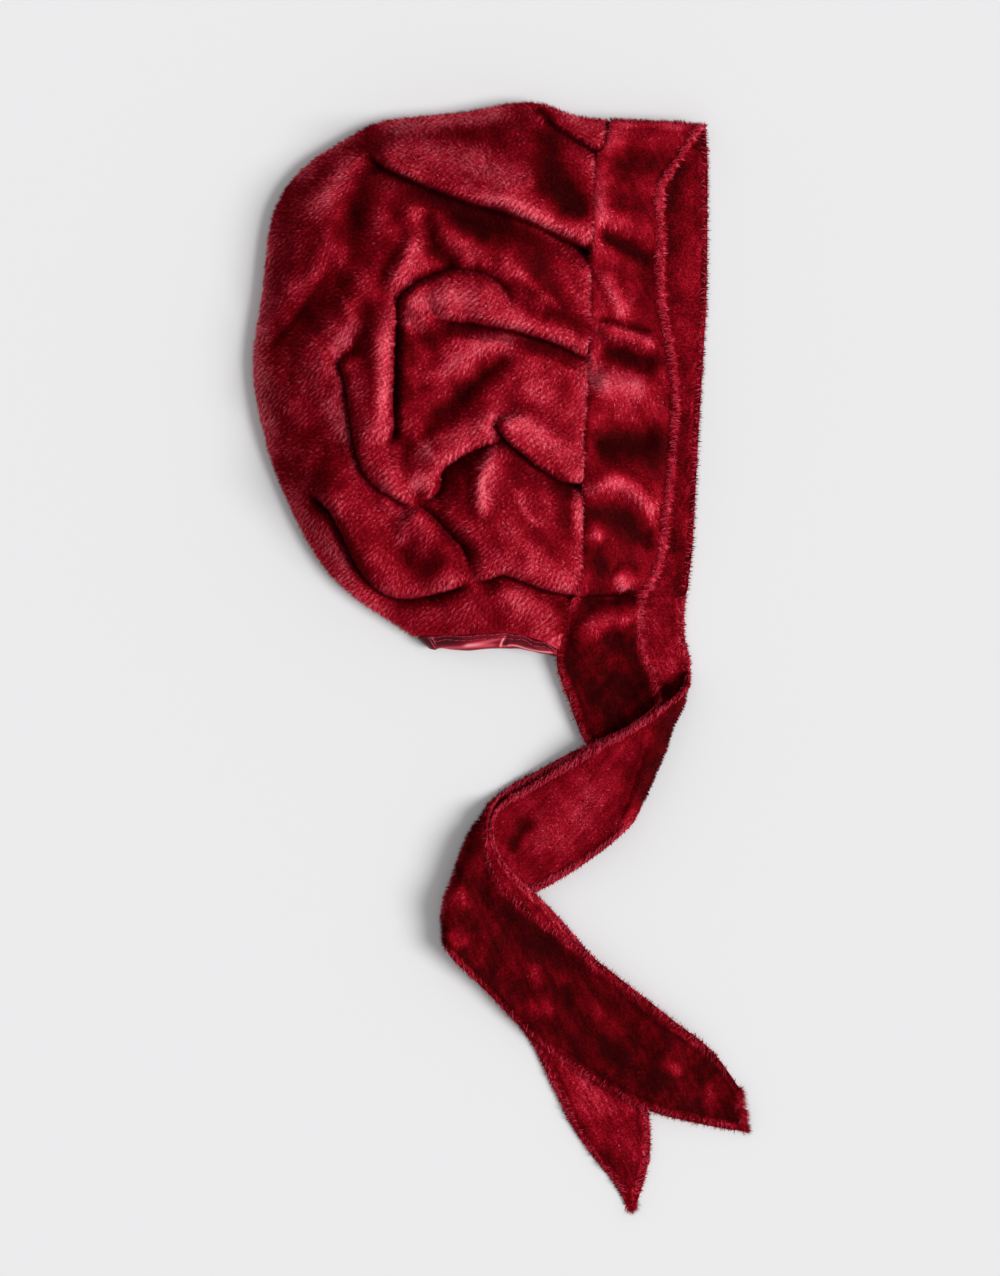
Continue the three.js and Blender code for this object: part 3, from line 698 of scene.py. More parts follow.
band_sections, band_passed = strip_sections(band_rows(), PLUSH)
band_sections[:, 0, 0] = seam_x(band_sections[:, 0, 1]) + SEAM_GAP
near_sections, near_passed = strip_sections(NEAR_TIE, PLUSH)
far_sections, far_passed = strip_sections(FAR_TIE, PLUSH)
print("sections of the band and the ties", len(band_sections), len(near_sections), len(far_sections))

# %% [markdown]
# A grid of faces is laid through the sections, and its points are moved along the cloth's own normal for
# puffs, ripples and the thicker hem. The cloth is one sheet here, and a Solidify modifier gives it the
# thickness of its knitted ground, half to each side. Its plush stands on that.

# %% Grids, bows and hems
HEM = 4.6  # mm, the width of an overlocked hem
HEM_RISE = 0.45  # mm that the overlocked edge stands up
HEM_ROUND = 1.5  # mm in which its edge is rounded
HEM_END_SLOPE = 1.8  # mm in which it goes down to the cloth
HEM_GROOVE = 0.3  # mm that its stitches pull in, where they go through the cloth
GROOVE_WIDTH = 0.9  # mm
HEM_STRAY = 0.7  # mm that a hem strays from its smooth line
BOW_REACH = 8  # sections before and after a fold that bow with it

hem_wander = swells(seed=13, wave=8)


def grid_mesh(name, steps, columns):
    """A flat grid, with the step along it and the share across it of each of its points."""
    shape = bmesh.new()
    bmesh.ops.create_grid(shape, x_segments=steps, y_segments=columns, size=0.5)
    mesh = bpy.data.meshes.new(name)
    shape.to_mesh(mesh)
    shape.free()
    square = points_of(mesh)[:, :2]
    square = (square - square.min(axis=0)) / (square.max(axis=0) - square.min(axis=0))
    return mesh, np.rint(square[:, 0] * steps).astype(int), 1 - square[:, 1]


def bowed(points, at, across, passed, bows):
    """Folds whose silhouette is a bow: each fold's number with the mm that its middle stands out."""
    for fold, bow in bows.items():
        turn = np.flatnonzero(passed == fold + 0.5)
        middle = points[at == turn[len(turn) // 2]].mean(axis=0)
        way = middle - (points[at == turn[0]].mean(axis=0) + points[at == turn[-1]].mean(axis=0)) / 2
        way = np.array([way[0], way[1], 0.0]) / math.hypot(way[0], way[1])
        share = smooth((at - turn[0] + BOW_REACH) / BOW_REACH)
        share *= smooth((turn[-1] + BOW_REACH - at) / BOW_REACH)
        points = points + way * (bow * share * np.sin(across * math.pi))[:, None]
    return points


def strayed(sections, edges):
    """The same sections, with their hems a little off their smooth lines."""
    sections = sections.copy()
    for edge in edges:
        out = unit(sections[:, edge] - sections[:, 1 - edge])
        sections[:, edge] += out * HEM_STRAY * hem_wander(*sections[:, edge, :2].T)[:, None]
    return sections


def hem_ridge(from_hem):
    """An overlocked hem is a little thicker, with a groove where its stitches hold the cloth down."""
    ridge = HEM_RISE * quarter_round(from_hem / HEM_ROUND)
    ridge = ridge * (1 - smooth((from_hem - HEM) / HEM_END_SLOPE + 1))
    return ridge - HEM_GROOVE * np.exp(-((from_hem - HEM) / GROOVE_WIDTH) ** 2)


print("a hem's height at its edge, middle and end, mm", hem_ridge(np.array([0, HEM / 2, HEM])).round(2))

# %% [markdown]
# The sheet of a strip joins its sections by a grid. Its relief is a function of the plan point and of the
# place on the strip. Beside the hems the grid is rounded off along the strip, because a hem is stiff.

# %% The sheet through a strip's sections
CORNER_REACH = 14.0  # mm from a hem in which the cloth is drawn round the corner of a fold
CORNER_ROUNDS = 34


def strip_mesh(name, sections, passed, columns, relief, starts_up=True, seam_left=False, bows=None):
    """The sheet and what its hems need: a dictionary with the mesh, its points as a grid, the normals of its
    sections, and for each point its distance from a hem, the way out to it, how far along it lies and the
    run of the strip. The sheet's outside faces up at its start, or else down."""
    last = len(sections) - 1
    sections = strayed(sections, (1,) if seam_left else (0, 1))
    mesh, at, across = grid_mesh(name, last, columns)
    travel = unit(np.gradient(sections.mean(axis=1), axis=0))
    width = np.linalg.norm(sections[:, 1] - sections[:, 0], axis=1)
    normal = unit(np.cross(sections[:, 1] - sections[:, 0], travel))
    flat = sections[at, 0] * (1 - across[:, None]) + sections[at, 1] * across[:, None]
    from_hem = (1 - across if seam_left else np.minimum(across, 1 - across)) * width[at]
    place = {"first_run": smooth(1 - 2 * passed[at]), "from_left": across * width[at],
             "from_right": (1 - across) * width[at], "from_hem": from_hem}
    height = relief(flat[:, 0], flat[:, 1], place)
    points = bowed(flat + normal[at] * height[:, None], at, across, passed, bows or {})
    order = np.lexsort((across, at))
    grid = points[order].reshape(last + 1, columns + 1, 3)
    near_hem = 1 - smooth(from_hem[order].reshape(last + 1, columns + 1, 1) / CORNER_REACH)
    for _ in range(CORNER_ROUNDS):
        grid[1:-1] += near_hem[1:-1] * 0.5 * ((grid[2:] + grid[:-2]) / 2 - grid[1:-1])
    grid[:, :, 2] = np.maximum(grid[:, :, 2], GROUND / 2)
    points[order] = grid.reshape(-1, 3)
    set_points(mesh, points)
    if (mesh.polygons[0].normal.z > 0) != starts_up:
        mesh.flip_normals()
    lengths = np.stack([lengths_along(grid[:, side]) for side in (0, -1)], axis=1)
    on_right = (across > 0.5).astype(int)
    outward = unit(sections[at, 1] - sections[at, 0]) * np.where(on_right, 1.0, -1.0)[:, None]
    return {"mesh": mesh, "grid": grid, "normal": normal, "from_hem": from_hem, "outward": outward,
            "along": lengths[at, on_right], "run": passed[at]}


print("the cloth is drawn round a corner within", CORNER_REACH, "mm of a hem")

# %% [markdown]
# The band carries the crown's pleats on as soft folds across it. They were read off the photograph like the
# crown's waves: bright ridges where the cloth stands up, and dark valleys between them.

# %% The band's relief
BAND_WAVES = drawn({
    "ridge under the upper pleat": (1.2, 8, [
        (47, 224), (51.5, 212), (62.5, 208.5), (72.5, 206), (78.5, 199)]),
    "crease below it": (-5, 8, [(47, 201), (56, 197.5), (66, 193), (77, 187)]),
    "ridge along the seam": (3, 8, [(49, 184), (56, 172), (61.5, 158)]),
    "valley beside it": (-3, 9, [(70, 188), (71, 174), (70, 163)]),
    "fold line": (-3, 4, [(46, 158), (60, 154.5), (75, 151)]),
    "thin ridge": (5, 6, [(47, 153.5), (58.5, 150.5), (77.5, 145)]),
    "valley under the thin ridge": (-3, 8, [(45, 144), (58.5, 140), (79, 133)]),
    "middle puff": (4.5, 13, [(45, 126.5), (60, 123), (80, 118)]),
    "deep valley": (-6, 14, [(42.5, 96.5), (60, 99), (81, 99)]),
    "arch": (5, 9, [(41.5, 70), (49, 75.5), (58, 78), (66, 74), (76, 60)]),
    "dent by the hem": (-2.5, 7, [(70, 54), (74, 43)]),
    "puff by the seam": (2, 7, [(46, 59), (48.5, 46.5)]),
    "lower puff": (3, 8, [(56, 33), (65, 26.5)]),
    "crease at the tie": (-4, 7, [(39, 17), (55, 19.5), (70.5, 21.5)]),
})
SEAM_STIFF = 6.0  # mm beside the seam where the band's waves are lower
FREE_HEM = (0.45, 9.0)  # share of the waves that is left at the free hem, and the mm in which they fade
BAND_SWELL = 0.5  # mm
BAND_RIPPLE = 0.15  # mm
cloth_swell = swells(seed=11, wave=22)
cloth_ripple = swells(seed=12, wave=7)


def band_relief(x, y, place):
    """The near half's puffs, the dip along its seam, and ripples and a hem all round."""
    left, reach = FREE_HEM
    puffs = waved(BAND_WAVES, x, y) * smooth(place["from_left"] / SEAM_STIFF)
    puffs *= left + (1 - left) * smooth(place["from_right"] / reach)
    dip = SEAM_DIP * (1 - quarter_round(place["from_left"] / SEAM_DIP_REACH))
    near = puffs - dip + BAND_SWELL * cloth_swell(x, y)
    return place["first_run"] * near + BAND_RIPPLE * cloth_ripple(x, y) + hem_ridge(place["from_hem"])


band_sheet = strip_mesh("band_cloth", band_sections, band_passed, 30, band_relief, seam_left=True)
print("band", len(band_sheet["mesh"].polygons), "faces")

# %% [markdown]
# The two ties lie folded over twice on each other. The near tie is on top in the first run, the far tie in
# the second, and the near tie again in the last. Their relief is mild: a ridge across the near tie where
# the band's gathers end, and the ripple that overlocking leaves along a hem.

# %% The ties' relief
TIE_WAVES = drawn({
    "ridge at the nape": (4, 8, [(33, -3), (46.5, 5.5), (70, 12)]),
    "valley under it": (-2.5, 12, [(50, -15), (61, -21), (70, -31)]),
    "crease at the band": (-3.5, 6, [(38, 19), (55, 19.5), (71, 20)]),
})
TIE_SWELL = 0.5  # mm
TIE_RIPPLE = 0.3  # mm
FINER = 1.3  # the ties' ripples are this much finer than the band's
HEM_STIFF = (5.0, 10.0)  # mm beside a hem in which the waves and the swells of a tie fade


def tie_ripples(x, y, from_hem, shifts=(0, 0)):
    """Swells and ripples of a tie's cloth, shifted so that the two ties differ, and the ridge of its hem."""
    swell = TIE_SWELL * cloth_swell(x + shifts[0], y) * smooth(from_hem / HEM_STIFF[1])
    return swell + TIE_RIPPLE * cloth_ripple(x * FINER + shifts[1], y * FINER) + hem_ridge(from_hem)


def near_tie_relief(x, y, place):
    """The near tie's ripples, and the ridge and valley of its first run."""
    waves = waved(TIE_WAVES, x, y) * place["first_run"] * smooth(place["from_hem"] / HEM_STIFF[0])
    return tie_ripples(x, y, place["from_hem"]) - waves


def far_tie_relief(x, y, place):
    """The far tie's ripples."""
    return tie_ripples(x, y, place["from_hem"], shifts=(50, 40))


near_sheet = strip_mesh("near_tie_cloth", near_sections, near_passed, 36, near_tie_relief, bows={1: 4.5})
far_sheet = strip_mesh("far_tie_cloth", far_sections, far_passed, 36, far_tie_relief, starts_up=False,
                       bows={1: 4.0})
print("ties", len(near_sheet["mesh"].polygons), len(far_sheet["mesh"].polygons), "faces")

# %% [markdown]
# The nape's edge is bound with a strip of satin. It runs along the near half's edge, turns at the back of the
# head, and comes back on the far half below. The crown's gathers carry on in it as small puckers.

# %% The satin binding's relief
PUCKERS = drawn({
    "pucker in the middle": (1.3, 2.6, [(-7, 3), (-2, 1.5), (-1, -0.5), (0, -6)]),
    "pucker beside it": (-1.0, 3.0, [(4.5, 4), (4, -8)]),
    "soft fold": (1.0, 8, [(-17, 4), (-16, -8)]),
    "slack behind it": (-0.8, 9, [(-30, 4), (-30, -8)]),
    "edge fold": (0.9, 1.8, [(0, -3), (6, -2.2), (12, -2.6), (18, -4.4), (26, -7)]),
})
TUCK = 1.2  # mm that the satin goes up under the plush
BINDING_DROP = 2.6  # mm that its free edge hangs lower
BINDING_ROLL = 1.6  # mm that the strip bulges between its edges
ROLL_WIDTH = 0.6  # share of the strip's width in which it rises to that
SATIN_RIPPLE = 0.25  # mm
satin_ripple = swells(seed=14, wave=7)


def binding_rows():
    """The binding's rows, with the ones on the near half hung from the crown's edge there."""
    rows, folded = [], False
    for row in BINDING:
        folded = folded or row[0] == "fold"
        if not folded:
            left_x, left_y, right_x = row[:3]
            level = near_height(right_x, nape_y(right_x)) - GROUND - SATIN / 2
            row = (left_x, left_y, right_x, nape_y(right_x) + TUCK, level - BINDING_DROP, level)
        rows.append(row)
    return rows


binding_sections, binding_passed = strip_sections(binding_rows(), SATIN, steps=24)


def binding_relief(x, y, place):
    """The near half's roll of satin with its puckers and ripples. The far half is plain."""
    width = place["from_left"] + place["from_right"]
    roll = quarter_round(place["from_left"] / (ROLL_WIDTH * width)) * smooth(place["from_right"] / 1.5)
    dents = waved(PUCKERS, x, y) + SATIN_RIPPLE * satin_ripple(x, y * 0.3)
    return (BINDING_ROLL * roll + dents) * place["first_run"]


binding_sheet = strip_mesh("nape_satin", binding_sections, binding_passed, 16, binding_relief)
print("binding", len(binding_sheet["mesh"].polygons), "faces")

# %% [markdown]
# Plush velour is a knitted ground with a short brushed pile. Where the cloth lies flat the eye looks down
# into the pile and sees a deep crimson. Light and shade are painted into that colour here: a roll gets a
# painted sheen in a paler pinkish red, a hollow gets painted shade that goes almost black, and a slope that
# faces the window is painted paler. Patches that a hand has stroked the other way are paler of themselves.
# All this is worked out as one number for each point of the cloth, its tone, which picks a colour from a
# ramp of shades from dark to pale.

# %% The shades of the pile
# The pile's shades from dark to pale. The tone picks one, so the ends also stand for painted shade and light.
PILE_SHADES = [
    "#340002", "#4a0004", "#640008", "#7f0312", "#9a0a1e", "#b41c30", "#ca344a", "#dc5060", "#ec7280"]
PALEST = len(PILE_SHADES) - 1
MIDDLE_TONE = 3.32  # the shade of flat cloth, counted from 0
CREVICE_PAINTED_SHADE = -4.0  # painted shade in a crevice, in shades
EDGE = 1.6  # mm
STROKE_STEPS = 16  # steps of the line of a stroke
pile_patch = swells(seed=21, wave=15)
pile_fleck = swells(seed=24, wave=5)
pile_tuft = swells(seed=25, wave=2.0, count=16)
hem_tuft = swells(seed=26, wave=2.6, count=16)
crown_streak = swells(seed=27, wave=1.7, count=20, drawn_out=math.radians(50))
band_streak = swells(seed=28, wave=1.7, count=20, drawn_out=math.radians(95))
reverse_curl = swells(seed=30, wave=1.9, count=24)
TAIL_WAY = math.radians(-62)  # the way that the far tie's tail points
tail_streak = swells(seed=31, wave=2.2, count=16, drawn_out=TAIL_WAY, fan=BRUSHED_FAN)


def triangles_of(mesh):
    """Plan points, unit normals and triangles of a mesh."""
    mesh.calc_loop_triangles()
    corners = np.empty(len(mesh.loop_triangles) * 3, int)
    mesh.loop_triangles.foreach_get("vertices", corners)
    normals = np.empty(len(mesh.vertices) * 3)
    mesh.vertices.foreach_get("normal", normals)
    return points_of(mesh) / MM - PLAN_TO_FRAME, normals.reshape(-1, 3), corners.reshape(-1, 3)


def in_hem(from_hem):
    """One inside a hem and 0 past it."""
    return 1 - smooth((from_hem - HEM + 1) / 1.5)


def painted_strokes(strokes, x, y):
    """Shades of painted light and shade that strokes change the tone by."""
    return waved(drawn(strokes, STROKE_STEPS), x, y)


print("shades of the pile", len(PILE_SHADES), "and flat cloth has the shade", MIDDLE_TONE)

# %% [markdown]
# The tone at a point starts from the middle one. Painted light makes rolls and slopes towards the window
# paler, painted shade makes hollows darker, and seeded patches, the mottle of a hem and the groove beside it
# come on top.

# %% The tone of a sheet's pile
# A roll's paleness is painted sheen, and a hollow's darkness is painted shade.
BEND_TONES = [(7, 4.0, 8.0), (40, 12.0, 12.0)]  # rounds of averaging, shades for a roll, for a hollow
BEND_LIMITS = (-2.2, 2.0)  # shades
SHARPEST_BEND = 1.5  # more than this counts as this much
SHINE_TONE = 1.6  # shades that a slope towards the window is paler
SHINE_WAY = np.array([0.77, -0.64])  # across the table, to the window
SHINE_ROUNDS = 160
PATCH_TONE = 0.35  # shades that patches differ by of themselves
FLECK_SHARE = 0.75  # how strong the small flecks among them are
HEM_MOTTLE = 1.1  # shades that places along a hem differ by
GROOVE_TONE = -0.9  # shades in the groove beside a hem
GROOVE_SHADE_WIDTH = 1.0  # mm
EDGE_PAINTED_SHADE = -0.3  # painted shade at the very edge, where the pile hangs over, in shades


def pile_tone(mesh, side=1, middle=MIDDLE_TONE, bends=1.0, patches=PATCH_TONE, from_hem=None,
              hem_tone=0.0):
    """The tone of the pile at each point of a sheet, on one of its sides, with painted light and shade in it.
    How strongly the cloth bends is taken from the way a point's neighbours lie, and averaged over a few of
    them."""
    points, normals, _ = triangles_of(mesh)
    normals = normals * side
    ends = np.empty(len(mesh.edges) * 2, int)
    mesh.edges.foreach_get("vertices", ends)
    a, b = ends.reshape(-1, 2).T
    count = np.bincount(a, minlength=len(points)) + np.bincount(b, minlength=len(points))

    def averaged(values, rounds=1):
        for _ in range(rounds):
            values = (np.bincount(a, values[b], len(points)) + np.bincount(b, values[a], len(points))) / count
        return values

    away = np.stack([averaged(points[:, k]) for k in range(3)], axis=1) - points
    gap = np.linalg.norm(points[a] - points[b], axis=1)
    spread = (np.bincount(a, gap ** 2, len(points)) + np.bincount(b, gap ** 2, len(points))) / count
    bend = -4 * (away * normals).sum(axis=1) / np.maximum(spread, 0.01)
    bend = np.clip(bend, -SHARPEST_BEND, SHARPEST_BEND)
    paleness = np.zeros(len(points))
    for rounds, on_roll, in_hollow in BEND_TONES:
        bend = averaged(bend, rounds)
        paleness += np.where(bend > 0, on_roll, in_hollow) * bend
    slope = averaged(normals[:, :2] @ SHINE_WAY, 3)
    shine = SHINE_TONE * (slope - averaged(slope, SHINE_ROUNDS))
    patch = np.tanh(1.6 * pile_patch(points[:, 0], points[:, 1]))
    patch += FLECK_SHARE * np.tanh(1.8 * pile_fleck(points[:, 0], points[:, 1]))
    tone = middle + bends * (np.clip(paleness, *BEND_LIMITS) + shine) + patches * patch
    if from_hem is None:
        return tone
    # A hem is paler by hem_tone: partly painted light on its ridge, partly its pale curls of pile.
    mottle = hem_tone + HEM_MOTTLE * np.tanh(1.5 * hem_tuft(points[:, 0], points[:, 1]))
    tone += mottle * in_hem(from_hem)
    tone += GROOVE_TONE * np.exp(-((from_hem - HEM - 0.3) / GROOVE_SHADE_WIDTH) ** 2)
    return tone + EDGE_PAINTED_SHADE * (1 - smooth(from_hem / EDGE))


print("a slope to the window is paler by", SHINE_TONE, "shades and a crevice darker by", -CREVICE_PAINTED_SHADE)

# %% [markdown]
# The ground of the cloth shows between the blades of pile made below, so it has the same shades. Its tone is
# kept in the mesh as an attribute, a fine noise breaks it up as single tufts do, and a colour ramp turns it
# into a colour. The same noise lifts the tufts a little.

# %% Plush ground material
TUFT_WAVES = 1200.0  # noise waves in a metre, for tufts about 0.8 mm wide
PILE_SHEEN = srgb("#c81c34")  # the fibres' fuzz scatters a purer red


def plush_ground(name, attribute, grain):
    """Plush seen between its blades, whose tone is an attribute of the mesh. Grain is how far its tufts
    differ, as a share of the whole ramp."""
    made, tree, shader = surface(name, Roughness=0.8, Specular_IOR_Level=0.04, Sheen_Weight=0.4,
                                 Sheen_Roughness=0.4, Sheen_Tint=PILE_SHEEN)
    tone = node(tree, "ShaderNodeAttribute", attribute_name=attribute)
    place = node(tree, "ShaderNodeTexCoord")
    tufts = node(tree, "ShaderNodeTexNoise", [("Vector", place, "Object")], Scale=TUFT_WAVES, Detail=3.0)
    spread = node(tree, "ShaderNodeMapRange", [("Value", tufts, "Fac")], From_Min=0.35, From_Max=0.65,
                  To_Min=-grain, To_Max=grain)
    mixed = node(tree, "ShaderNodeMath", [(0, tone, "Fac"), (1, spread, "Result")], operation="ADD")
    # The ramp turns the tone, painted light and shade included, into the ground's colour.
    ramp = shade_ramp(tree, PILE_SHADES, mixed, "Value")
    tree.links.new(ramp.outputs["Color"], shader.inputs["Base Color"])
    bump = node(tree, "ShaderNodeBump", [("Height", tufts, "Fac")], Strength=0.5, Distance=0.0006)
    tree.links.new(bump.outputs["Normal"], shader.inputs["Normal"])
    return made


def keep_share(mesh, attribute, share):
    """Writes a number from 0 to 1 for each point into a mesh."""
    mesh.attributes.new(attribute, "FLOAT", "POINT")
    mesh.attributes[attribute].data.foreach_set("value", np.clip(share, 0, 1))


plush = plush_ground("crimson_plush", "outside_tone", 0.1)
plush_reverse = plush_ground("crimson_plush_reverse", "inside_tone", 0.16)
# One plain material for each shade. A blade's tone, painted light and shade included, picks its shade.
pile_shades = [
    surface(f"velour_pile_{number + 1}", Base_Color=srgb(code), Roughness=0.7, Specular_IOR_Level=0.03,
            Sheen_Weight=0.35, Sheen_Roughness=0.35, Sheen_Tint=PILE_SHEEN)[0]
    for number, code in enumerate(PILE_SHADES)]
print("plush materials", plush.name, plush_reverse.name, "and", len(pile_shades), "shades of pile")

# %% [markdown]
# The pile itself is made as blades that stand on the ground and lean with the nap. A blade is one thin
# triangle, far coarser than a fibre, because a real one is too fine to show here. Its root is a random place
# on the cloth, chosen by area, so the pile is as dense on a steep fold as on a flat one. The nap wanders over
# the cloth as it does after a hand has stroked it. Blades take their shade from the tone at their root, out
# of plain shades, so that nothing has to be baked for them. They are lit as the cloth under them is. All of
# it comes from seeded numbers. Blender can list the crown's faces in another order from run to run, so a
# blade of the crown may stand in another place, and the look stays the same.

# %% The nap, and where blades stand
HEM_DENSER = 1.2  # a hem crowds its pile together by this share more

nap_turn = swells(seed=22, wave=45)
nap_flick = swells(seed=23, wave=11)


def nap_down(x, y):
    """The nap runs down and to the left of the head, and wanders."""
    return math.radians(235) + 0.7 * nap_turn(x, y) + 0.45 * nap_flick(x, y)


def nap_curled(x, y):
    """The looped reverse of the cloth has no way that it lies: its loops curl every way."""
    return 4 * pile_tuft(x, y) + 5 * nap_flick(2 * x, 2 * y)


def nap_along_tail(x, y):
    """The far tie's other face is brushed along the strip, which shows in its pointed tail."""
    return TAIL_WAY + 0.15 * nap_flick(x, y)


def rooted(dice, mesh, count, side, chance, sheet):
    """Random places on a mesh, chosen by area, as the three points round each, the share of each of them,
    and the way up from the cloth. chance gives a weight to a place, and a hem crowds its pile together."""
    points, normals, corners = triangles_of(mesh)
    a, b, c = (points[corners[:, k]] for k in range(3))
    weight = np.linalg.norm(np.cross(b - a, c - a), axis=1)
    if chance is not None:
        weight = weight * chance((a + b + c) / 3, unit(normals[corners].sum(axis=1)) * side)
    if sheet is not None:
        weight = weight * (1 + HEM_DENSER * in_hem(sheet["from_hem"][corners].mean(axis=1)))
    total = np.cumsum(weight)
    picked = corners[np.searchsorted(total, dice.uniform(0, total[-1], count))]
    u, v = dice.uniform(0, 1, count), dice.uniform(0, 1, count)
    over = u + v > 1
    u, v = np.where(over, 1 - u, u), np.where(over, 1 - v, v)
    share = np.stack([1 - u - v, u, v], axis=1)
    up = unit((normals[picked] * share[:, :, None]).sum(axis=1)) * side
    return picked, share, (points[picked] * share[:, :, None]).sum(axis=1), up


def blade_mesh(name, corners):
    """A mesh of loose triangles from their corners, three after three."""
    made, count = bpy.data.meshes.new(name), len(corners) // 3
    made.vertices.add(3 * count)
    made.loops.add(3 * count)
    made.polygons.add(count)
    made.loops.foreach_set("vertex_index", np.arange(3 * count))
    made.polygons.foreach_set("loop_start", np.arange(0, 3 * count, 3))
    made.polygons.foreach_set("use_smooth", [True] * count)
    set_points(made, corners)
    return made


print("the nap in the crown's middle points to", round(math.degrees(nap_down(-30, 100)) % 360), "degrees")

# %% [markdown]
# A blade leans with the nap and more so where its tone is paler. In a hem it is ruffled by the loops, and at
# an edge it hangs over. Its shade is the tone with a little of each tuft, each streak and each blade.

# %% Blades of pile on a sheet
BLADE_WIDTH = 0.4  # mm at the root
BLADE_LENGTH = 2.3  # mm
BLADE_TILT = math.radians(28)  # between the cloth's normal and the blade
PALE_TILT = math.radians(9)  # how much further blades lean for each shade above the middle
BLADE_SPARKLE = 0.16  # how far a blade's shading turns from the cloth's, as a share
TUFT_SHADES = 0.7  # shades that one tuft differs from the next by
SPECKLE = 0.35  # shades that one blade differs from the next by
PALE_SPECKLE = 0.25  # and this much more for each shade above the middle
PALE_STREAKS = 0.85  # shades that the pile's streaks are deep, for each shade above PALE_FROM
PALE_FROM = 2.2
STREAK_LIMITS = (0.2, 1.8)  # shades
NAP_SPREAD = 0.45  # radians that blades lean to the side of the nap
REACHES = (0.7, 1.25)  # shares of their length that blades come out at
FROM_ABOVE = 0.3  # how much the cloth's own side counts when a blade's lit face is turned up
LEAST_HEIGHT = 0.05  # mm that blades stay above the table
RUFFLE = 0.22  # radians that blades tilt more or less than their neighbours
HEM_RUFFLE = 0.4  # and this much more in a hem
HEM_BULGE = 0.2  # share of its length that the pile is longer between the loops of a hem
HANG_OVER = 1.1  # radians that the pile leans out over an edge
STITCH = 2.4  # mm along the hem from one loop to the next


def pile(name, mesh, slot, tone, count, seed, side=1, lift=0.0, length=BLADE_LENGTH, tilt=BLADE_TILT,
         chance=None, sheet=None, nap=nap_down, streak=crown_streak, sparkle=BLADE_SPARKLE):
    """Blades on one side of a sheet. tone is the shade at each point. On a strip the pile hangs out over
    the edges, and sheet says where these are."""
    dice = np.random.default_rng(seed)
    picked, share, root, up = rooted(dice, mesh, count, side, chance, sheet)
    root = root + up * lift
    angle = nap(root[:, 0], root[:, 1]) + dice.normal(0, NAP_SPREAD, count)
    lean = np.stack([np.cos(angle), np.sin(angle), np.zeros(count)], axis=1)
    lean = unit(lean - up * (lean * up).sum(axis=1)[:, None])
    hem, edge, bulge = np.zeros(count), np.zeros(count), np.zeros(count)
    if sheet is not None:
        from_hem = (sheet["from_hem"][picked] * share).sum(axis=1)
        hem, edge = in_hem(from_hem), 1 - smooth(from_hem / EDGE)
        bulge = hem * -np.cos(2 * math.pi * (sheet["along"][picked] * share).sum(axis=1) / STITCH)
        outward = (sheet["outward"][picked] * share[:, :, None]).sum(axis=1)
        lean = unit(lean * (1 - edge)[:, None] + outward * edge[:, None])
    shade = (tone[picked] * share).sum(axis=1)
    paleness = np.clip(shade - MIDDLE_TONE, 0, 4)
    tip_angle = tilt + PALE_TILT * paleness + (RUFFLE + HEM_RUFFLE * hem) * dice.normal(0, 1, count)
    tip_angle += (HANG_OVER - tilt) * edge
    way = up * np.cos(tip_angle)[:, None] + lean * np.sin(tip_angle)[:, None]
    wide = unit(np.cross(way, dice.normal(0, 1, (count, 3)))) * BLADE_WIDTH / 2
    front = np.cross(wide, way)
    seen = front[:, 2] + FROM_ABOVE * (front * up).sum(axis=1)
    wide = wide * np.where(seen < 0, -1.0, 1.0)[:, None]
    reach = length * dice.uniform(*REACHES, count) * (1 + HEM_BULGE * bulge)
    corners = np.stack([root - wide, root + wide, root + way * reach[:, None]], axis=1).reshape(-1, 3)
    corners[:, 2] = np.maximum(corners[:, 2], LEAST_HEIGHT)
    made = blade_mesh(name, corners)
    shade += (SPECKLE + PALE_SPECKLE * paleness) * dice.normal(0, 1, count)
    shade += TUFT_SHADES * pile_tuft(root[:, 0], root[:, 1])
    streaks = np.clip(PALE_STREAKS * (shade - PALE_FROM), *STREAK_LIMITS)
    shade += streaks * np.tanh(2 * streak(root[:, 0], root[:, 1]))
    # The blade's shade slot carries the painted light and shade of its tone.
    made.polygons.foreach_set("material_index", np.clip(np.rint(shade), 0, PALEST).astype(int))
    lit = unit(up + sparkle * dice.normal(0, 1, (count, 3)))
    made.normals_split_custom_set_from_vertices(np.repeat(lit, 3, axis=0))
    blades = mesh_object(name, made, slot, *pile_shades)
    blades.visible_shadow = False  # a fibre lets most light through
    return blades


print("blades lean, degrees", round(math.degrees(BLADE_TILT)), "and are", BLADE_LENGTH, "mm long")
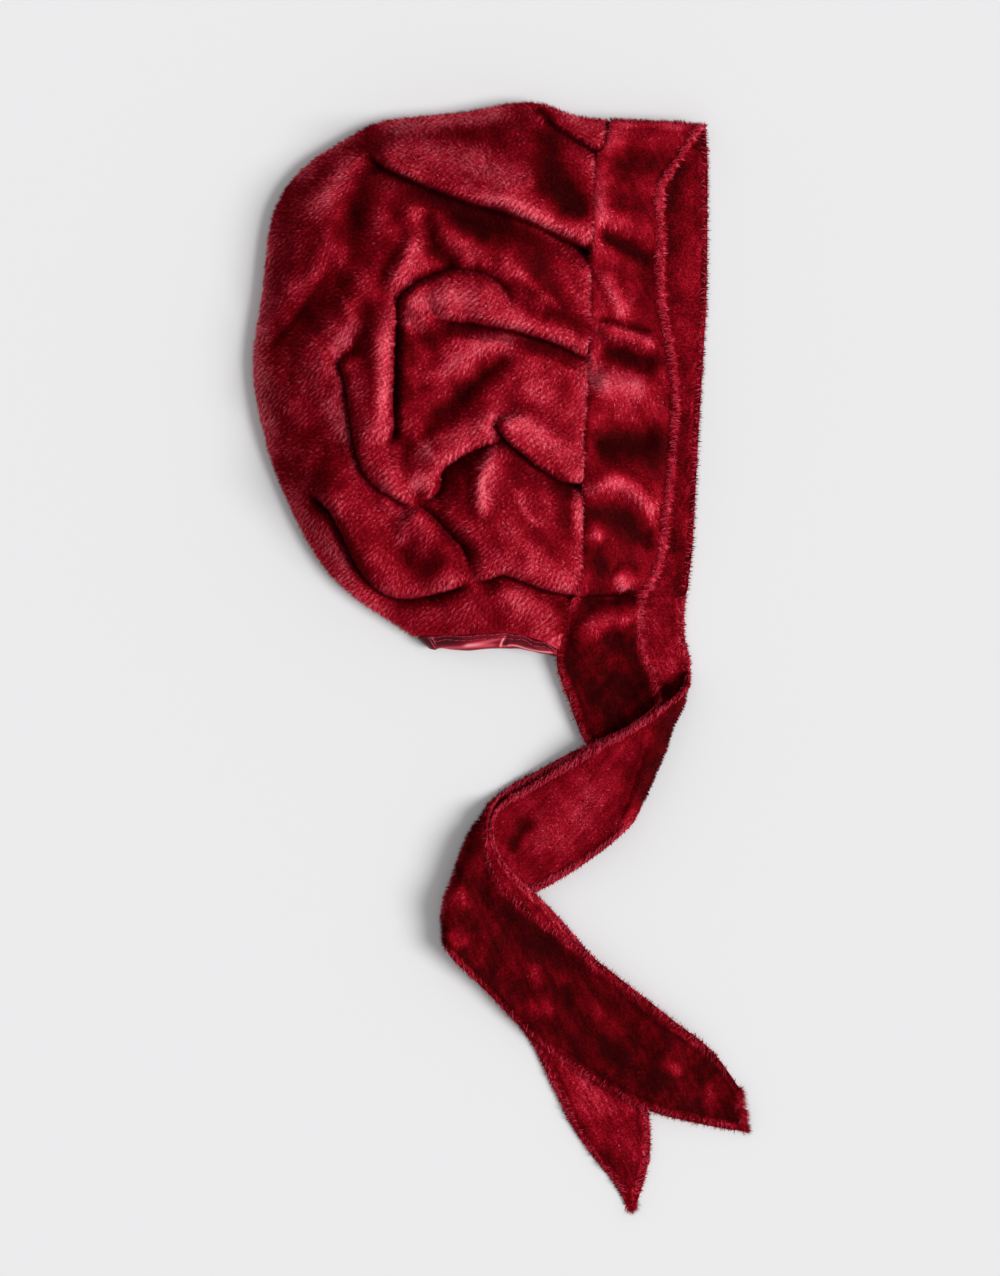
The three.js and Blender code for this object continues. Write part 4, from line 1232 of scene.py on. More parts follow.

# %% [markdown]
# These strokes paint light and shade into the pile's tone: pale ones are painted sheen and highlights where
# rolls and slopes catch the light, dark ones painted shade in hollows and under pleats, with some of the
# pile's own pale and dark patches among them. They were read off the photograph. They run mostly along the
# folds.

# %% Strokes on the crown
# painted light and shade, name: shades paler or darker, width, path
CROWN_LIGHT_AND_SHADE_STROKES = {
    "top rim": (3.3, 9, [(-64, 252), (-20, 257), (12, 262)]),
    "rim behind the top": (1.7, 8, [(-105, 222), (-84, 243), (-66, 251)]),
    "back rim": (2.9, 11, [(-112, 214), (-118, 175), (-120, 135), (-115, 100), (-106, 80)]),
    "lower rim": (1.7, 10, [(-109, 86), (-102, 72), (-86, 46), (-65, 19), (-47, 5)]),
    "patch behind the crown": (1.8, 10, [(-97, 207), (-88, 214), (-80, 226), (-72, 243)]),
    "streak above the valley": (0.8, 6, [(-113, 162), (-103, 172), (-88, 181)]),
    "valley behind the crown": (-1.7, 10, [(-64, 240), (-65, 222), (-72, 204), (-84, 190)]),
    "valley to the rim": (-1.7, 4, [(-77, 185), (-88, 173), (-100, 157), (-118, 138)]),
    "slope above the upper pleat": (1.7, 13, [(-55, 243), (-35, 240), (-15, 234), (5, 226), (18, 218)]),
    "edge of the upper pleat": (1.3, 4, [(-15, 218), (3, 213), (20, 206), (33, 200)]),
    "top of the middle": (-3.1, 16, [(20, 256), (26, 235), (32, 220), (44, 206)]),
    "glint beside it": (1.2, 5, [(33, 242), (36, 224)]),
    "smooth top": (-0.7, 9, [(-38, 250), (-15, 248), (8, 246)]),
    "brow triangle": (1.6, 7, [(27, 262), (38, 257), (47, 250)]),
    "brow dimple": (-3.5, 4.5, [(18, 264), (23, 258), (28, 254)]),
    "shade under the upper pleat": (-3.2, 13, [
        (-52, 224), (-30, 213), (-8, 203), (10, 194), (22, 182), (34, 168)]),
    "shade over the bulge": (-1.7, 5, [(-46, 174), (-34, 178), (-16, 181), (-4, 178)]),
    "streak under the upper pleat": (3.0, 4, [(2, 208), (14, 203), (30, 196)]),
    "shade past the groove": (-2.6, 8, [(-27, 206), (-14, 200), (-2, 194)]),
    "shade over the pleat's end": (-2.2, 9, [(14, 222), (30, 216), (46, 209)]),
    "end of the upper pleat": (-1.8, 7, [(26, 208), (36, 207), (47, 208)]),
    "streak to the seam": (1.0, 5, [(26, 186), (33, 174), (42, 162)]),
    "strokes beside the bulge": (2.0, 4, [(5, 182), (15, 174), (24, 166), (31, 159)]),
    "shade at the seam": (-2.8, 9, [(20, 160), (32, 156), (46, 149)]),
    "patch left of the roll": (1.5, 9, [(-85, 120), (-81, 106), (-77, 94)]),
    "patch by the groove": (0.4, 7, [(-28, 198), (-18, 190), (-9, 185)]),
    "curl at the groove": (0.6, 4, [(-42, 213), (-33, 212), (-28, 203)]),
    "ridge above the roll": (0.7, 4.5, [(-43, 220), (-40, 198), (-46, 183), (-57, 166)]),
    "shade beside the ridge": (-1.2, 7, [(-55, 222), (-52, 205), (-58, 190), (-70, 178)]),
    "right edge of the roll": (1.0, 5, [(-54, 175), (-56, 150), (-56.5, 130), (-57, 112), (-58, 99)]),
    "shade beside the roll": (-3.0, 8, [(-47.5, 159), (-47.5, 143), (-47, 122), (-49, 104)]),
    "foot of the roll": (2.6, 7, [(-46, 88), (-40, 89), (-32, 93)]),
    "left edge of the roll": (0.3, 4.5, [(-72, 140), (-68, 115), (-66, 100), (-61, 86)]),
    "middle of the roll": (-1.2, 5, [(-63, 155), (-62, 130), (-61, 105)]),
    "back of the head": (0.8, 12, [(-114, 122), (-96, 126), (-80, 133)]),
    "patch behind the roll": (2.9, 7, [(-84, 137), (-76, 146), (-66, 157)]),
    "bulge": (1.7, 8, [(-49, 158), (-30, 165), (-14, 165), (-5, 163)]),
    "foot of the bulge": (3.2, 7, [(-51, 159), (-45, 154), (-34, 152)]),
    "shade at the bulge's end": (-1.8, 7, [(8, 163), (16, 158), (25, 155)]),
    "slope at the second pleat": (0.6, 5, [(2, 161), (18, 155), (30, 151), (41, 146)]),
    "left of the hollow": (-1.6, 7, [(-44, 147), (-41, 131)]),
    "hollow under the second pleat": (-2.2, 7, [(-40, 142), (-28, 148), (-8, 153)]),
    "slope below the hollow": (2.1, 7, [(-38, 123), (-26, 131), (-10, 142), (17, 151)]),
    "dim field": (-1.8, 8, [(3, 141), (20, 141), (39, 135)]),
    "valley under the bulge": (-0.9, 6, [(-40, 106), (-29, 111), (-14, 123), (2, 135)]),
    "field above the third pleat": (1.4, 11, [(10, 127), (22, 117), (38, 106)]),
    "third pleat": (2.0, 9, [(-6, 114), (14, 104), (26, 95), (42, 86)]),
    "lip of the roll": (1.5, 6, [(-45, 92), (-20, 100), (0, 106)]),
    "tip of the roll": (2.3, 8, [(-44, 79), (-38, 76), (-31, 75)]),
    "shade beside the rim": (-1.0, 9, [(-84, 84), (-76, 72)]),
    "pit": (-2.2, 7, [(-31, 90), (-27, 78), (-38, 68), (-32, 60), (-24, 48), (-14, 40)]),
    "shade beside the pit": (-1.2, 8, [(-15, 91), (-18, 72), (-16, 55)]),
    "field beside the fan": (-1.7, 7, [(4, 88), (10, 78), (22, 74)]),
    "line of the fan": (1.9, 4, [(0, 98), (-6, 84), (-9, 70), (-6, 56)]),
    "foot of the fan": (1.0, 8, [(-5, 58), (10, 48), (23, 38)]),
    "thin line of the fan": (1.6, 3, [(10, 75), (12, 63), (22, 53)]),
    "dark of the fan": (-2.2, 8, [(25, 84), (31, 68), (31, 52)]),
    "edge by the seam": (1.2, 4, [(38, 80), (38, 60), (37, 42)]),
    "lower right": (1.0, 9, [(9, 37), (24, 34), (38, 29)]),
    "back of the puff": (1.4, 8, [(-45, 70), (-48, 56), (-52, 44)]),
    "edge of the puff": (-0.3, 5, [(-84, 69), (-76, 54), (-70, 42), (-58, 30)]),
    "dim middle of the puff": (-2.0, 9, [(-42, 34), (-28, 36), (-17, 40)]),
    "dim side of the puff": (-0.9, 9, [(-78, 66), (-70, 52), (-62, 40)]),
    "shade in the rim crease": (-1.3, 7, [(-100, 74), (-86, 60), (-76, 47), (-68, 36), (-56, 25)]),
    "slope at the nape": (1.3, 10, [(2, 27), (15, 15), (26, 2)]),
    "corner at the nape": (-3.2, 8, [(29, 20), (33, 10), (30, 0)]),
}

print("strokes on the crown", len(CROWN_LIGHT_AND_SHADE_STROKES))

# %% [markdown]
# The crown's ground is a thin shell with the pile on its outside. The pile is shared out into three pieces:
# the upper and the lower part of the near half, which the eye sees, and a thinner one round the rim and
# below, which only peeps out.

# %% The crown and its pile
CROWN_BLADES = 160000
RIM_BLADES = 20000
CROWN_PARTING = 132  # mm, the height where the near half's pile is shared out into two pieces
NAPE_TRIM = 1.6  # mm along the nape where the pile is sewn down under the satin's stitches
FACES_UP = 0.02  # a place whose normal rises more than this belongs to the near half's pile
RIM_SHARES = (0.03, 1.5, 2.0)  # share of the pile on the table's side, mm up where more starts, and full mm


def thicken(piece, thickness, offset, inner_material=0):
    """Gives a sheet the thickness of its cloth in mm, inwards with offset -1, half to each side with 0."""
    wall = piece.modifiers.new("ground thickness", "SOLIDIFY")
    wall.thickness = thickness * MM
    wall.offset = offset
    wall.material_offset = inner_material


def upper_part(centre, facing):
    """The near half above the parting."""
    return (facing[:, 2] > FACES_UP) * (centre[:, 1] > CROWN_PARTING)


def lower_part(centre, facing):
    """The near half below the parting, but for the trimmed edge at the nape."""
    trimmed = centre[:, 1] > nape_y(centre[:, 0]) + NAPE_TRIM
    return (facing[:, 2] > FACES_UP) * (centre[:, 1] <= CROWN_PARTING) * trimmed


def rim_part(centre, facing):
    """The rim, and a thin share of the side that lies on the table."""
    least, start, reach = RIM_SHARES
    return (facing[:, 2] <= FACES_UP) * (least + smooth((centre[:, 2] - start) / reach))


crown_places = triangles_of(crown_cloth)[0]
crevices = np.empty(len(crown_places))
crown_cloth.attributes["crevice"].data.foreach_get("value", crevices)
# The strokes paint light and shade into the crown's tone.
crown_tone = pile_tone(crown_cloth) + painted_strokes(CROWN_LIGHT_AND_SHADE_STROKES, crown_places[:, 0], crown_places[:, 1])
# Painted shade in the crevices beside the rolls.
crown_tone += CREVICE_PAINTED_SHADE * crevices
keep_share(crown_cloth, "outside_tone", crown_tone / PALEST)
keep_share(crown_cloth, "inside_tone", np.full(len(crown_tone), MIDDLE_TONE / PALEST))
crown = mesh_object("crown_plush_bag", crown_cloth, "crown_plush", plush, plush_reverse)
thicken(crown, GROUND, -1, inner_material=1)
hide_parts("crown")
crown_pile = [
    pile("crown_pile_" + part, crown_cloth, "crown_plush", crown_tone, count, seed, chance=chance)
    for part, count, seed, chance in (
        ("upper", CROWN_BLADES, 31, upper_part), ("lower", CROWN_BLADES, 32, lower_part),
        ("rim", RIM_BLADES, 33, rim_part))]
print("crown tones", np.percentile(crown_tone, [2, 10, 25, 50, 75, 90, 98]).round(1))

# %% [markdown]
# The strips have strokes of their own, for each run between two folds, and they paint light and shade as the
# crown's do. The band's carry on the crown's folds. The near tie's pale spots are partly pressed pile and
# partly painted highlight, the edge of its fold is painted sheen, and the far tie's first fold gets painted
# shade. The far tie's tail is brushed.

# %% Strokes on the band and the ties
# strip and run, counted in folds: strokes as above
STRIP_LIGHT_AND_SHADE_STROKES = {
    ("band_plush_strip", 0): {
        "shoulder at the brow": (0.2, 6, [(52, 260), (56, 243)]),
        "top edge": (0.8, 5, [(59, 257), (80, 256), (99, 253)]),
        "upper field": (-1.6, 12, [(50, 238), (72, 233), (88, 239)]),
        "beside the seam": (1.5, 5, [(49, 229), (49, 212), (50, 200)]),
        "shade on the ridge": (-1.3, 7, [(50, 211), (60, 212), (72, 209), (82, 202)]),
        "specks over the ridge": (0.8, 4, [(57, 223), (68, 221), (80, 222)]),
        "crease below it": (-2.4, 7, [(45, 200), (58, 196), (68, 190), (80, 185)]),
        "streak from the seam": (2.0, 5, [(50, 183), (56, 170), (62, 155)]),
        "field by the hem": (0.6, 8, [(71, 180), (68, 164)]),
        "fold line": (-1.8, 3.5, [(44, 158), (60, 155), (78, 151)]),
        "thin ridge": (1.6, 3, [(44, 154), (58, 152), (68, 149), (80, 144)]),
        "shade below it": (-1.3, 6, [(52, 144), (64, 141), (84, 136)]),
        "bright block": (2.7, 14, [(34, 135), (56, 128), (76, 120)]),
        "left part of the bright block": (1.5, 7, [(47, 131), (51, 118)]),
        "dark block": (-2.6, 18, [(36, 93), (60, 93), (90, 91)]),
        "arch": (2.3, 5, [(38, 68), (50, 75), (60, 77), (70, 69), (80, 55)]),
        "shade under the arch": (-2.8, 11, [(38, 58), (54, 61), (64, 53), (66, 42)]),
        "spot by the seam": (1.6, 5, [(47, 60), (48, 48)]),
        "dent by the hem": (-2.0, 4, [(74, 56), (75, 42)]),
        "dim strip": (-2.8, 12, [(44, 50), (49, 34), (50, 14)]),
        "lower spot": (1.8, 4.5, [(56, 31), (63, 24)]),
    },
    ("band_plush_strip", 1): {
        "shade beside the near hem": (-1.6, 9, [(94, 244), (85, 222), (85, 205), (86, 184)]),
        "upper dent": (-1.4, 5, [(82, 167), (92, 170)]),
        "middle dent": (-1.4, 4, [(87, 146), (95, 132)]),
        "lower dent": (-1.6, 4, [(87, 54), (86, 40)]),
        "pale strip": (0.7, 5, [(98, 235), (97, 160), (94, 100), (91, 30)]),
        "pale patches": (0.9, 5, [(92, 200), (90, 184), (93, 174)]),
        "pale patch": (0.9, 5, [(90, 160), (92, 148), (90, 138)]),
        "dim patch": (-0.8, 6, [(90, 118), (92, 96), (90, 72)]),
    },
    ("near_tie_strip", 0): {
        "ridge at the nape": (2.6, 8, [(34, -1), (46, 7), (60, 11), (76, 14)]),
        "hem on the right": (1.6, 5, [(73, 22), (73, 0), (76, -18), (82, -34)]),
        "shade above the fold": (-1.2, 20, [(44, -22), (58, -30), (76, -20)]),
    },
    ("near_tie_strip", 2): {
        "edge of the fold": (5.2, 6, [(-33, -150), (-27, -124), (-14, -88)]),
        "spot at the fold": (2.2, 8, [(-25, -129), (-16, -129)]),
        "spot below it": (2.4, 7, [(-25, -144), (-18, -154)]),
        "spot at the corner": (1.3, 5, [(-17, -160), (-6, -160)]),
        "left spot": (2.7, 5, [(17, -160), (20, -174)]),
        "right spot": (2.1, 7, [(26, -171), (41, -167)]),
        "spot by the hem": (1.9, 7, [(13, -182), (27, -187)]),
        "pale middle": (1.0, 9, [(42, -180), (64, -194)]),
        "spot at the end": (2.4, 5.5, [(80, -211), (92, -217)]),
        "spot by the cut": (1.7, 6, [(103, -222), (108, -238)]),
        "dark middle": (-1.4, 10, [(0, -130), (30, -160), (38, -184)]),
        "dark lower middle": (-1.3, 9, [(45, -200), (66, -214), (90, -226)]),
    },
    ("far_tie_strip", 0): {
        "spot at the curl": (1.2, 6, [(84, -4), (87, -18)]),
        "hollow in the fold": (-2.6, 7, [(80, -27), (87, -25), (94, -20)]),
    },
    ("far_tie_strip", 1): {
        "shade at the fold": (-2.4, 13, [(98, -14), (88, -44), (77, -72), (66, -94)]),
        "dim field at the fold": (-1.3, 20, [(92, -30), (80, -62), (62, -84)]),
        "pale middle": (1.4, 16, [(55, -66), (35, -90), (14, -108)]),
        "dent": (-2.6, 6, [(16, -90), (9, -98), (5, -108)]),
    },
    ("far_tie_strip", 2): {
        "dark hem": (-1.0, 6, [(20, -200), (28, -222), (40, -244), (56, -266)]),
        "pale tail": (1.1, 18, [(28, -192), (42, -220), (52, -242)]),
        "dark tip": (-1.3, 12, [(52, -250), (62, -268), (67, -290)]),
    },
}

print("strokes on the strips", sum(len(strokes) for strokes in STRIP_LIGHT_AND_SHADE_STROKES.values()))

# %% [markdown]
# The band and the ties have pile on both of their faces, since their folds show either one. The far tie's
# first face is the looped reverse of the cloth, whose loops curl and shine every way.

# %% The band, the ties and their pile
CURL_SPARKLE = 0.4
TIE_BENDS = 0.35  # a tie's folds are sharp, and get less painted light and shade than the crown's rolls
HALF = GROUND / 2
RUN_REACH = 0.6  # a run's strokes reach to the middle of the folds at its ends

# What each strip stands for and what its pile is like. Pairs are for its outside and its inside
STRIPS = {
    "band_plush_strip": dict(
        node="band", slot="band_plush", tones=(3.0, 2.6), blades=(70000, 28000), lengths=(2.0, 1.8),
        bends=1.0, hem_tone=0.3, naps=(nap_down, nap_down), streaks=(band_streak, band_streak),
        sparkles=(BLADE_SPARKLE, BLADE_SPARKLE), patches=0.5),
    "near_tie_strip": dict(
        node="near_tie", slot="tie_plush", tones=(1.3, 1.8), blades=(62000, 9000), lengths=(2.6, 1.8),
        bends=TIE_BENDS, hem_tone=2.0, naps=(nap_down, nap_down), streaks=(band_streak, band_streak),
        sparkles=(BLADE_SPARKLE, BLADE_SPARKLE), patches=0.65),
    "far_tie_strip": dict(
        node="far_tie", slot="tie_plush", tones=(3.3, 3.3), blades=(56000, 44000), lengths=(1.5, 2.0),
        bends=TIE_BENDS, hem_tone=1.3, naps=(nap_curled, nap_along_tail), streaks=(reverse_curl, tail_streak),
        sparkles=(CURL_SPARKLE, BLADE_SPARKLE), patches=0.5),
}


def strip_strokes(name, sheet):
    """The painted light and shade that the strokes give each point of a strip, run by run."""
    places, stroked_light_and_shade = triangles_of(sheet["mesh"])[0], np.zeros(len(sheet["from_hem"]))
    for (strip, run), strokes in STRIP_LIGHT_AND_SHADE_STROKES.items():
        if strip == name:
            here = np.abs(sheet["run"] - run) < RUN_REACH
            stroked_light_and_shade += np.where(here, painted_strokes(strokes, places[:, 0], places[:, 1]), 0)
    return stroked_light_and_shade


strips, strip_pile = {}, {}
for number, (name, sheet) in enumerate(zip(STRIPS, (band_sheet, near_sheet, far_sheet))):
    kind, cloth, from_hem = STRIPS[name], sheet["mesh"], sheet["from_hem"]
    stroked_light_and_shade = strip_strokes(name, sheet)
    strip_pile[name] = []
    for i, (side, face) in enumerate(((1, "outside"), (-1, "inside"))):
        tone = stroked_light_and_shade + pile_tone(
            cloth, side, kind["tones"][i], kind["bends"], kind["patches"], from_hem, kind["hem_tone"])
        keep_share(cloth, face + "_tone", tone / PALEST)
        strip_pile[name].append(pile(
            f"{kind['node']}_pile_{face}", cloth, kind["slot"], tone, kind["blades"][i],
            41 + 10 * number + side, side, HALF, kind["lengths"][i], sheet=sheet, nap=kind["naps"][i],
            streak=kind["streaks"][i], sparkle=kind["sparkles"][i]))
        print(name, face, "tones", np.percentile(tone, [2, 25, 50, 75, 98]).round(1))
    strips[name] = mesh_object(name, cloth, kind["slot"], plush, plush_reverse)
    thicken(strips[name], GROUND, 0, inner_material=1)
    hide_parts(kind["node"])

# %% [markdown]
# The ties end in a slanted cut that isn't overlocked. There the pile and loose knitted loops fray out, and
# gather in small clumps.

# %% Frayed ends
FRAY_BLADES = 75  # for each mm of the end
FRAY_LENGTH = 4.4  # mm
FRAY_TILT = math.radians(74)
FRAY_REACH = 2.5  # mm from the end
FRAY_CLUMPS = 1.2  # how sharply its fibres gather in clumps
FRAY_TONE = 3.6  # shades


def fray(name, sheet, seed, side):
    """Loose fibres that stick out of the end of a strip."""
    grid = sheet["grid"]
    end_line = evenly(grid[-1, :, :2], 12)
    outward = (grid[-1] - grid[-6]).mean(axis=0)
    way = math.atan2(outward[1], outward[0])

    def at_end(centre, facing):
        x, y = centre[:, 0], centre[:, 1]
        return (nearest(end_line, x, y)[0] < FRAY_REACH) * (0.1 + smooth(FRAY_CLUMPS * hem_tuft(x, y)))

    def spread(x, y):
        return way + 0.5 * nap_flick(3 * x, 3 * y)

    count = int(FRAY_BLADES * np.linalg.norm(end_line[-1] - end_line[0]))
    tone = pile_tone(sheet["mesh"], side, FRAY_TONE, 0.0)
    return pile(name, sheet["mesh"], "tie_plush", tone, count, seed, side, 0, FRAY_LENGTH, FRAY_TILT,
                chance=at_end, nap=spread)


strip_pile["near_tie_strip"].append(fray("near_tie_frayed_end", near_sheet, 61, 1))
strip_pile["far_tie_strip"].append(fray("far_tie_frayed_end", far_sheet, 62, -1))
print("frayed fibres", [len(strip_pile[f"{tie}_tie_strip"][-1].data.polygons) for tie in ("near", "far")])

# %% [markdown]
# Every raw edge is overlocked. Its looper thread goes over the edge, round to the back and over again in each
# stitch. The loops are slack, and the pile pokes out between them, so a hem looks like rough cord with small
# pale curls. One long thin tube follows each hem here. It is laid in the cloth's own directions: along the
# hem, in from the edge, and up from the cloth, and strays a little from the even path.

# %% Threads along a hem
THREAD = 0.55  # mm thick
THREAD_SIDES = 4
TWIST_WAVES = 2500.0  # noise waves in a metre, for the thread's twist

thread_paint, thread_tree, thread_shader = surface(
    "crimson_sewing_thread", Roughness=0.6, Specular_IOR_Level=0.1)
thread_place = node(thread_tree, "ShaderNodeTexCoord")
twist = node(thread_tree, "ShaderNodeTexNoise", [("Vector", thread_place, "Object")], Scale=TWIST_WAVES)
dye = shade_ramp(thread_tree, ["#8c0a20", "#cc3c54"], twist, "Fac", span=(0.35, 0.65))
thread_tree.links.new(dye.outputs["Color"], thread_shader.inputs["Base Color"])


def hem_grid(sheet, at_right):
    """A sheet's grid of points, counted from the hem in question."""
    return sheet["grid"][:, ::-1] if at_right else sheet["grid"]


def on_hem(sheet, at_right, along, into, height):
    """Points along a hem, some way in from its edge and above the middle of the cloth, and the cloth's
    normals there."""
    grid = hem_grid(sheet, at_right)
    columns = grid.shape[1] - 1
    at = np.interp(along, lengths_along(grid[:, 0]), np.arange(len(grid)))
    width = np.linalg.norm(grid[:, -1] - grid[:, 0], axis=1)
    column = np.minimum(into * np.interp(at, np.arange(len(grid)), columns / width), columns / 2)
    i = np.clip(at.astype(int), 0, len(grid) - 2)
    j = np.maximum(np.floor(column).astype(int), 0)
    u, v = (at - i)[:, None], (column - j)[:, None]
    near_edge = grid[i, j] * (1 - u) + grid[i + 1, j] * u
    further_in = grid[i, j + 1] * (1 - u) + grid[i + 1, j + 1] * u
    up = unit(sheet["normal"][i] * (1 - u) + sheet["normal"][i + 1] * u)
    return near_edge * (1 - v) + further_in * v + up * height[:, None], up


def thread(name, slot, path, up):
    """A thread along a path, as a tube of four sides that stays above the table."""
    path = np.column_stack([path[:, :2], np.maximum(path[:, 2], THREAD / 2)])
    mesh, at, across = grid_mesh(name, len(path) - 1, THREAD_SIDES)
    turn = (1 - across) * 2 * math.pi
    travel = unit(np.gradient(path, axis=0))
    sideways = unit(np.cross(travel, up))
    ring = sideways[at] * np.cos(turn)[:, None] + np.cross(sideways, travel)[at] * np.sin(turn)[:, None]
    set_points(mesh, path[at] + ring * THREAD / 2)
    shape = bmesh.new()
    shape.from_mesh(mesh)
    bmesh.ops.remove_doubles(shape, verts=shape.verts, dist=0.01 * MM)
    bmesh.ops.recalc_face_normals(shape, faces=shape.faces)
    shape.to_mesh(mesh)
    shape.free()
    return mesh_object(name, mesh, slot, thread_paint)


print("a thread is", THREAD, "mm thick and has", THREAD_SIDES, "sides")

# %% [markdown]
# In each stitch the looper thread goes over the edge, under the cloth and back. The loops are slack, so that
# they stray a little from the even path.

# %% Overlocked hems
STITCH_STEPS = 10
HEM_END = 5.0  # mm at the end of a strip where the stitches have come out
CURL = 0.9  # mm that the loops stray, as they are slack
CURL_UP = 0.5  # share of that by which they stray up and down
SEWN_IN = 30.0  # mm of the near tie's left edge that are sewn to the crown and have no hem
# The looper thread in one stitch: share of the stitch, mm in from the edge, side of the cloth
LOOPER = np.array([
    (0.0, HEM, 1), (0.12, 4.0, 1), (0.34, 1.0, 1), (0.44, -0.6, 0), (0.52, 1.0, -1), (0.6, 3.0, -1),
    (0.68, 1.0, -1), (0.76, -0.6, 0), (0.86, 1.0, 1), (0.97, 4.0, 1), (1.0, HEM, 1),
])
loop_curl = swells(seed=29, wave=3.3, count=7)


def overlock(name, slot, sheet, at_right, start=0.0):
    """The looper thread of one hem, from some way along it to its end."""
    end = lengths_along(hem_grid(sheet, at_right)[:, 0])[-1] - HEM_END
    stitches = int((end - start) / STITCH)
    count = start / STITCH + np.arange(stitches * STITCH_STEPS + 1) / STITCH_STEPS
    into, side = (np.interp(count % 1.0, LOOPER[:, 0], LOOPER[:, k]) for k in (1, 2))
    along = count * STITCH + CURL * loop_curl(count * STITCH, into)
    into = into + CURL * loop_curl(into + 50, count * STITCH)
    height = side * (HALF + THREAD) + CURL_UP * CURL * loop_curl(count * STITCH, into + 90)
    return thread(name, slot, *on_hem(sheet, at_right, along, into, height))


hems = {
    "band_plush_strip": [overlock("band_hem_loops", "band_plush", band_sheet, True)],
    "near_tie_strip": [overlock("near_tie_hem_loops_0", "tie_plush", near_sheet, 0, start=SEWN_IN),
                       overlock("near_tie_hem_loops_1", "tie_plush", near_sheet, 1)],
    "far_tie_strip": [overlock(f"far_tie_hem_loops_{right}", "tie_plush", far_sheet, right)
                      for right in (0, 1)],
}
print("hem faces", {name: sum(len(o.data.polygons) for o in made) for name, made in hems.items()})

# %% [markdown]
# Satin is a weave whose long floating threads all run one way, so it shines in bands across its folds.
# The floats run along the strip, and a fine stretched noise stands for them in the gloss and the height.
# Its bright bands are also painted highlights in its colour, with painted shade beside them. Where they lie
# was read off the photograph, as the strokes on the plush were, and is kept in the mesh.

# %% The satin binding
# The satin's shades from dark to pale, whose pale end is painted highlight.
SATIN_SHADES = ["#3a0410", "#6e0c1c", "#96182a", "#d0505e", "#f0a0a6"]
SATIN_MIDDLE = 0.22  # the place of the satin's usual shade on that ramp
# painted highlights and shade, name: how much brighter or darker on the ramp, width, path
SATIN_PAINTED_LIGHT = {
    "highlight, lower part": (0.5, 2.0, [(-34, -5.2), (-14, -4.2), (3, -3)]),
    "highlight, upper part": (0.5, 1.8, [(-20, -3.8), (-8, -2), (3, 0.4)]),
    "pucker": (-0.6, 1.5, [(4.6, 1.5), (3.4, -1), (2.6, -4)]),
    "edge of the pucker": (0.7, 1.0, [(3.2, 1.5), (1, -1.6), (0, -5)]),
    "long line": (0.75, 1.0, [(-2, -4.4), (4.6, -3.5), (8, -3.6), (13.3, -5.2), (18.5, -6.3), (31, -7.6)]),
    "dull field over the line": (-0.2, 2.4, [(3, 0), (14, -2), (30, -5.5)]),
    "lower edge": (-0.4, 1.2, [(-2, -5.8), (15, -7), (36, -11)]),
    "dull back": (-0.25, 4, [(-50, -1), (-33, -1.6), (-16, -0.2)]),
}
FLOAT_WAVES = 900.0  # float threads in a metre, across the binding
FLOAT_STRETCH = 0.08  # a float is this share as dense along its thread
SATIN_THICKNESS = 0.5  # mm

satin, satin_tree, satin_shader = surface(
    "crimson_satin", Roughness=0.32, Specular_IOR_Level=0.5, Specular_Tint=srgb("#ff9aa4"))
# The painted highlights and shade, kept in the mesh, pick the satin's colour.
bands = node(satin_tree, "ShaderNodeAttribute", attribute_name="satin_painted_light")
band_ramp = shade_ramp(satin_tree, SATIN_SHADES, bands, "Fac")
satin_tree.links.new(band_ramp.outputs["Color"], satin_shader.inputs["Base Color"])
place = node(satin_tree, "ShaderNodeTexCoord")
stretch = node(satin_tree, "ShaderNodeMapping", [("Vector", place, "Object")],
               Scale=(FLOAT_STRETCH, 1.0, 1.0))
floats = node(satin_tree, "ShaderNodeTexNoise", [("Vector", stretch, "Vector")], Scale=FLOAT_WAVES,
              Detail=2.0)
shine = node(satin_tree, "ShaderNodeMapRange", [("Value", floats, "Fac")], To_Min=0.26, To_Max=0.42)
satin_tree.links.new(shine.outputs["Result"], satin_shader.inputs["Roughness"])
weave = node(satin_tree, "ShaderNodeBump", [("Height", floats, "Fac")], Strength=0.15, Distance=0.0001)
satin_tree.links.new(weave.outputs["Normal"], satin_shader.inputs["Normal"])

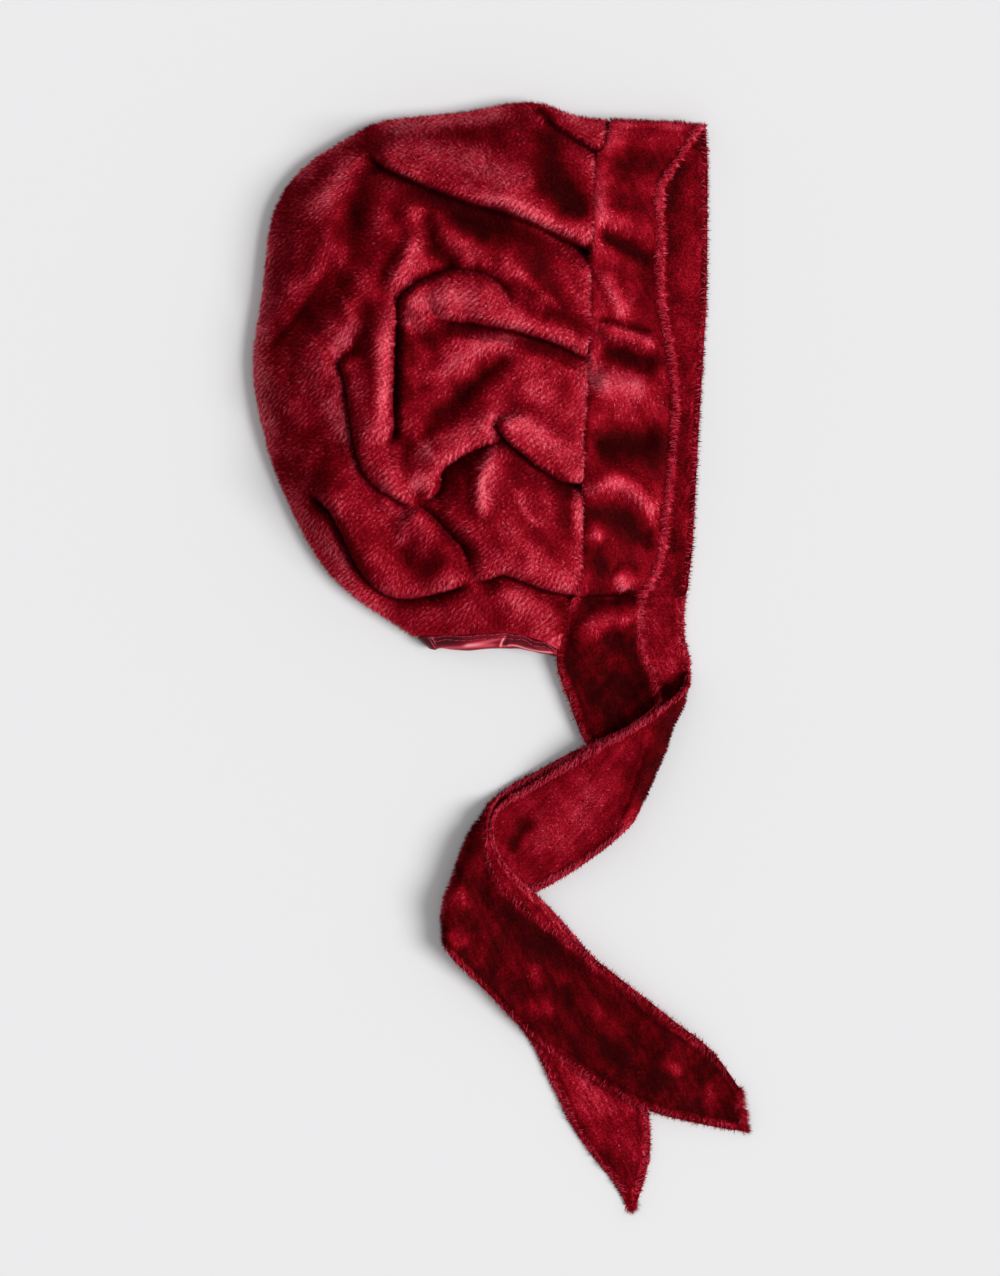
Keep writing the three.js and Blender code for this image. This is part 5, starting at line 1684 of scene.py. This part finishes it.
satin_places = triangles_of(binding_sheet["mesh"])[0]
satin_painted_light = SATIN_MIDDLE + painted_strokes(SATIN_PAINTED_LIGHT, satin_places[:, 0], satin_places[:, 1])
keep_share(binding_sheet["mesh"], "satin_painted_light", satin_painted_light)
binding = mesh_object("nape_satin_binding", binding_sheet["mesh"], "nape_satin", satin)
thicken(binding, SATIN_THICKNESS, 0)
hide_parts("nape_binding")
print("satin shades from", satin_painted_light.min().round(2), "to", satin_painted_light.max().round(2))

# %% [markdown]
# The binding is sewn on with two rows of topstitches. Each stitch lies on the satin for most of its length
# and dips through it at its ends.

# %% Topstitches
TOPSTITCH = 3.4  # mm from one stitch to the next
TOPSTITCH_ROWS = {"upper": 1.5, "lower": 3.6}  # mm in from the satin's upper edge
ON_TOP = 0.8  # share of a stitch that lies on the satin
STITCH_HEIGHTS = (0.4, 0.15, -0.6)  # mm above the satin: its ends, more in its middle, between stitches

upper_end = int((binding_passed < 0.5).sum()) - 1
upper_length = lengths_along(hem_grid(binding_sheet, True)[:, 0])[upper_end]
face_up = np.sign(binding_sheet["normal"][0, 2])
for row_name, into in TOPSTITCH_ROWS.items():
    along = np.arange(0, upper_length - 4, TOPSTITCH / STITCH_STEPS)
    share = along / TOPSTITCH % 1.0
    ends, bulge, between = STITCH_HEIGHTS
    level = np.where(share < ON_TOP, ends + bulge * np.sin(share / ON_TOP * math.pi), between)
    spots, up = on_hem(binding_sheet, True, along, np.full(len(along), into), level * face_up)
    thread(f"nape_topstitch_{row_name}", "nape_satin", spots, up)
print("topstitches in a row", int(upper_length / TOPSTITCH))

# %% [markdown]
# The crown was cut as one rounded piece and gathered along the seam. The band and the ties are plain strips
# that lie folded, and so is the binding.


# %% [markdown]
# Last, the triangles of every piece are counted with their modifiers, and the total and the six largest are
# printed.

# %% Check and finish
view = bpy.context.evaluated_depsgraph_get()
sizes_of = {}
for part in scene.objects:
    if part.type == "MESH" and part is not table:
        solid = part.evaluated_get(view).to_mesh()
        solid.calc_loop_triangles()
        sizes_of[part.name] = len(solid.loop_triangles)
        part.evaluated_get(view).to_mesh_clear()
print("triangles in all", sum(sizes_of.values()), sorted(sizes_of.items(), key=lambda item: -item[1])[:6])
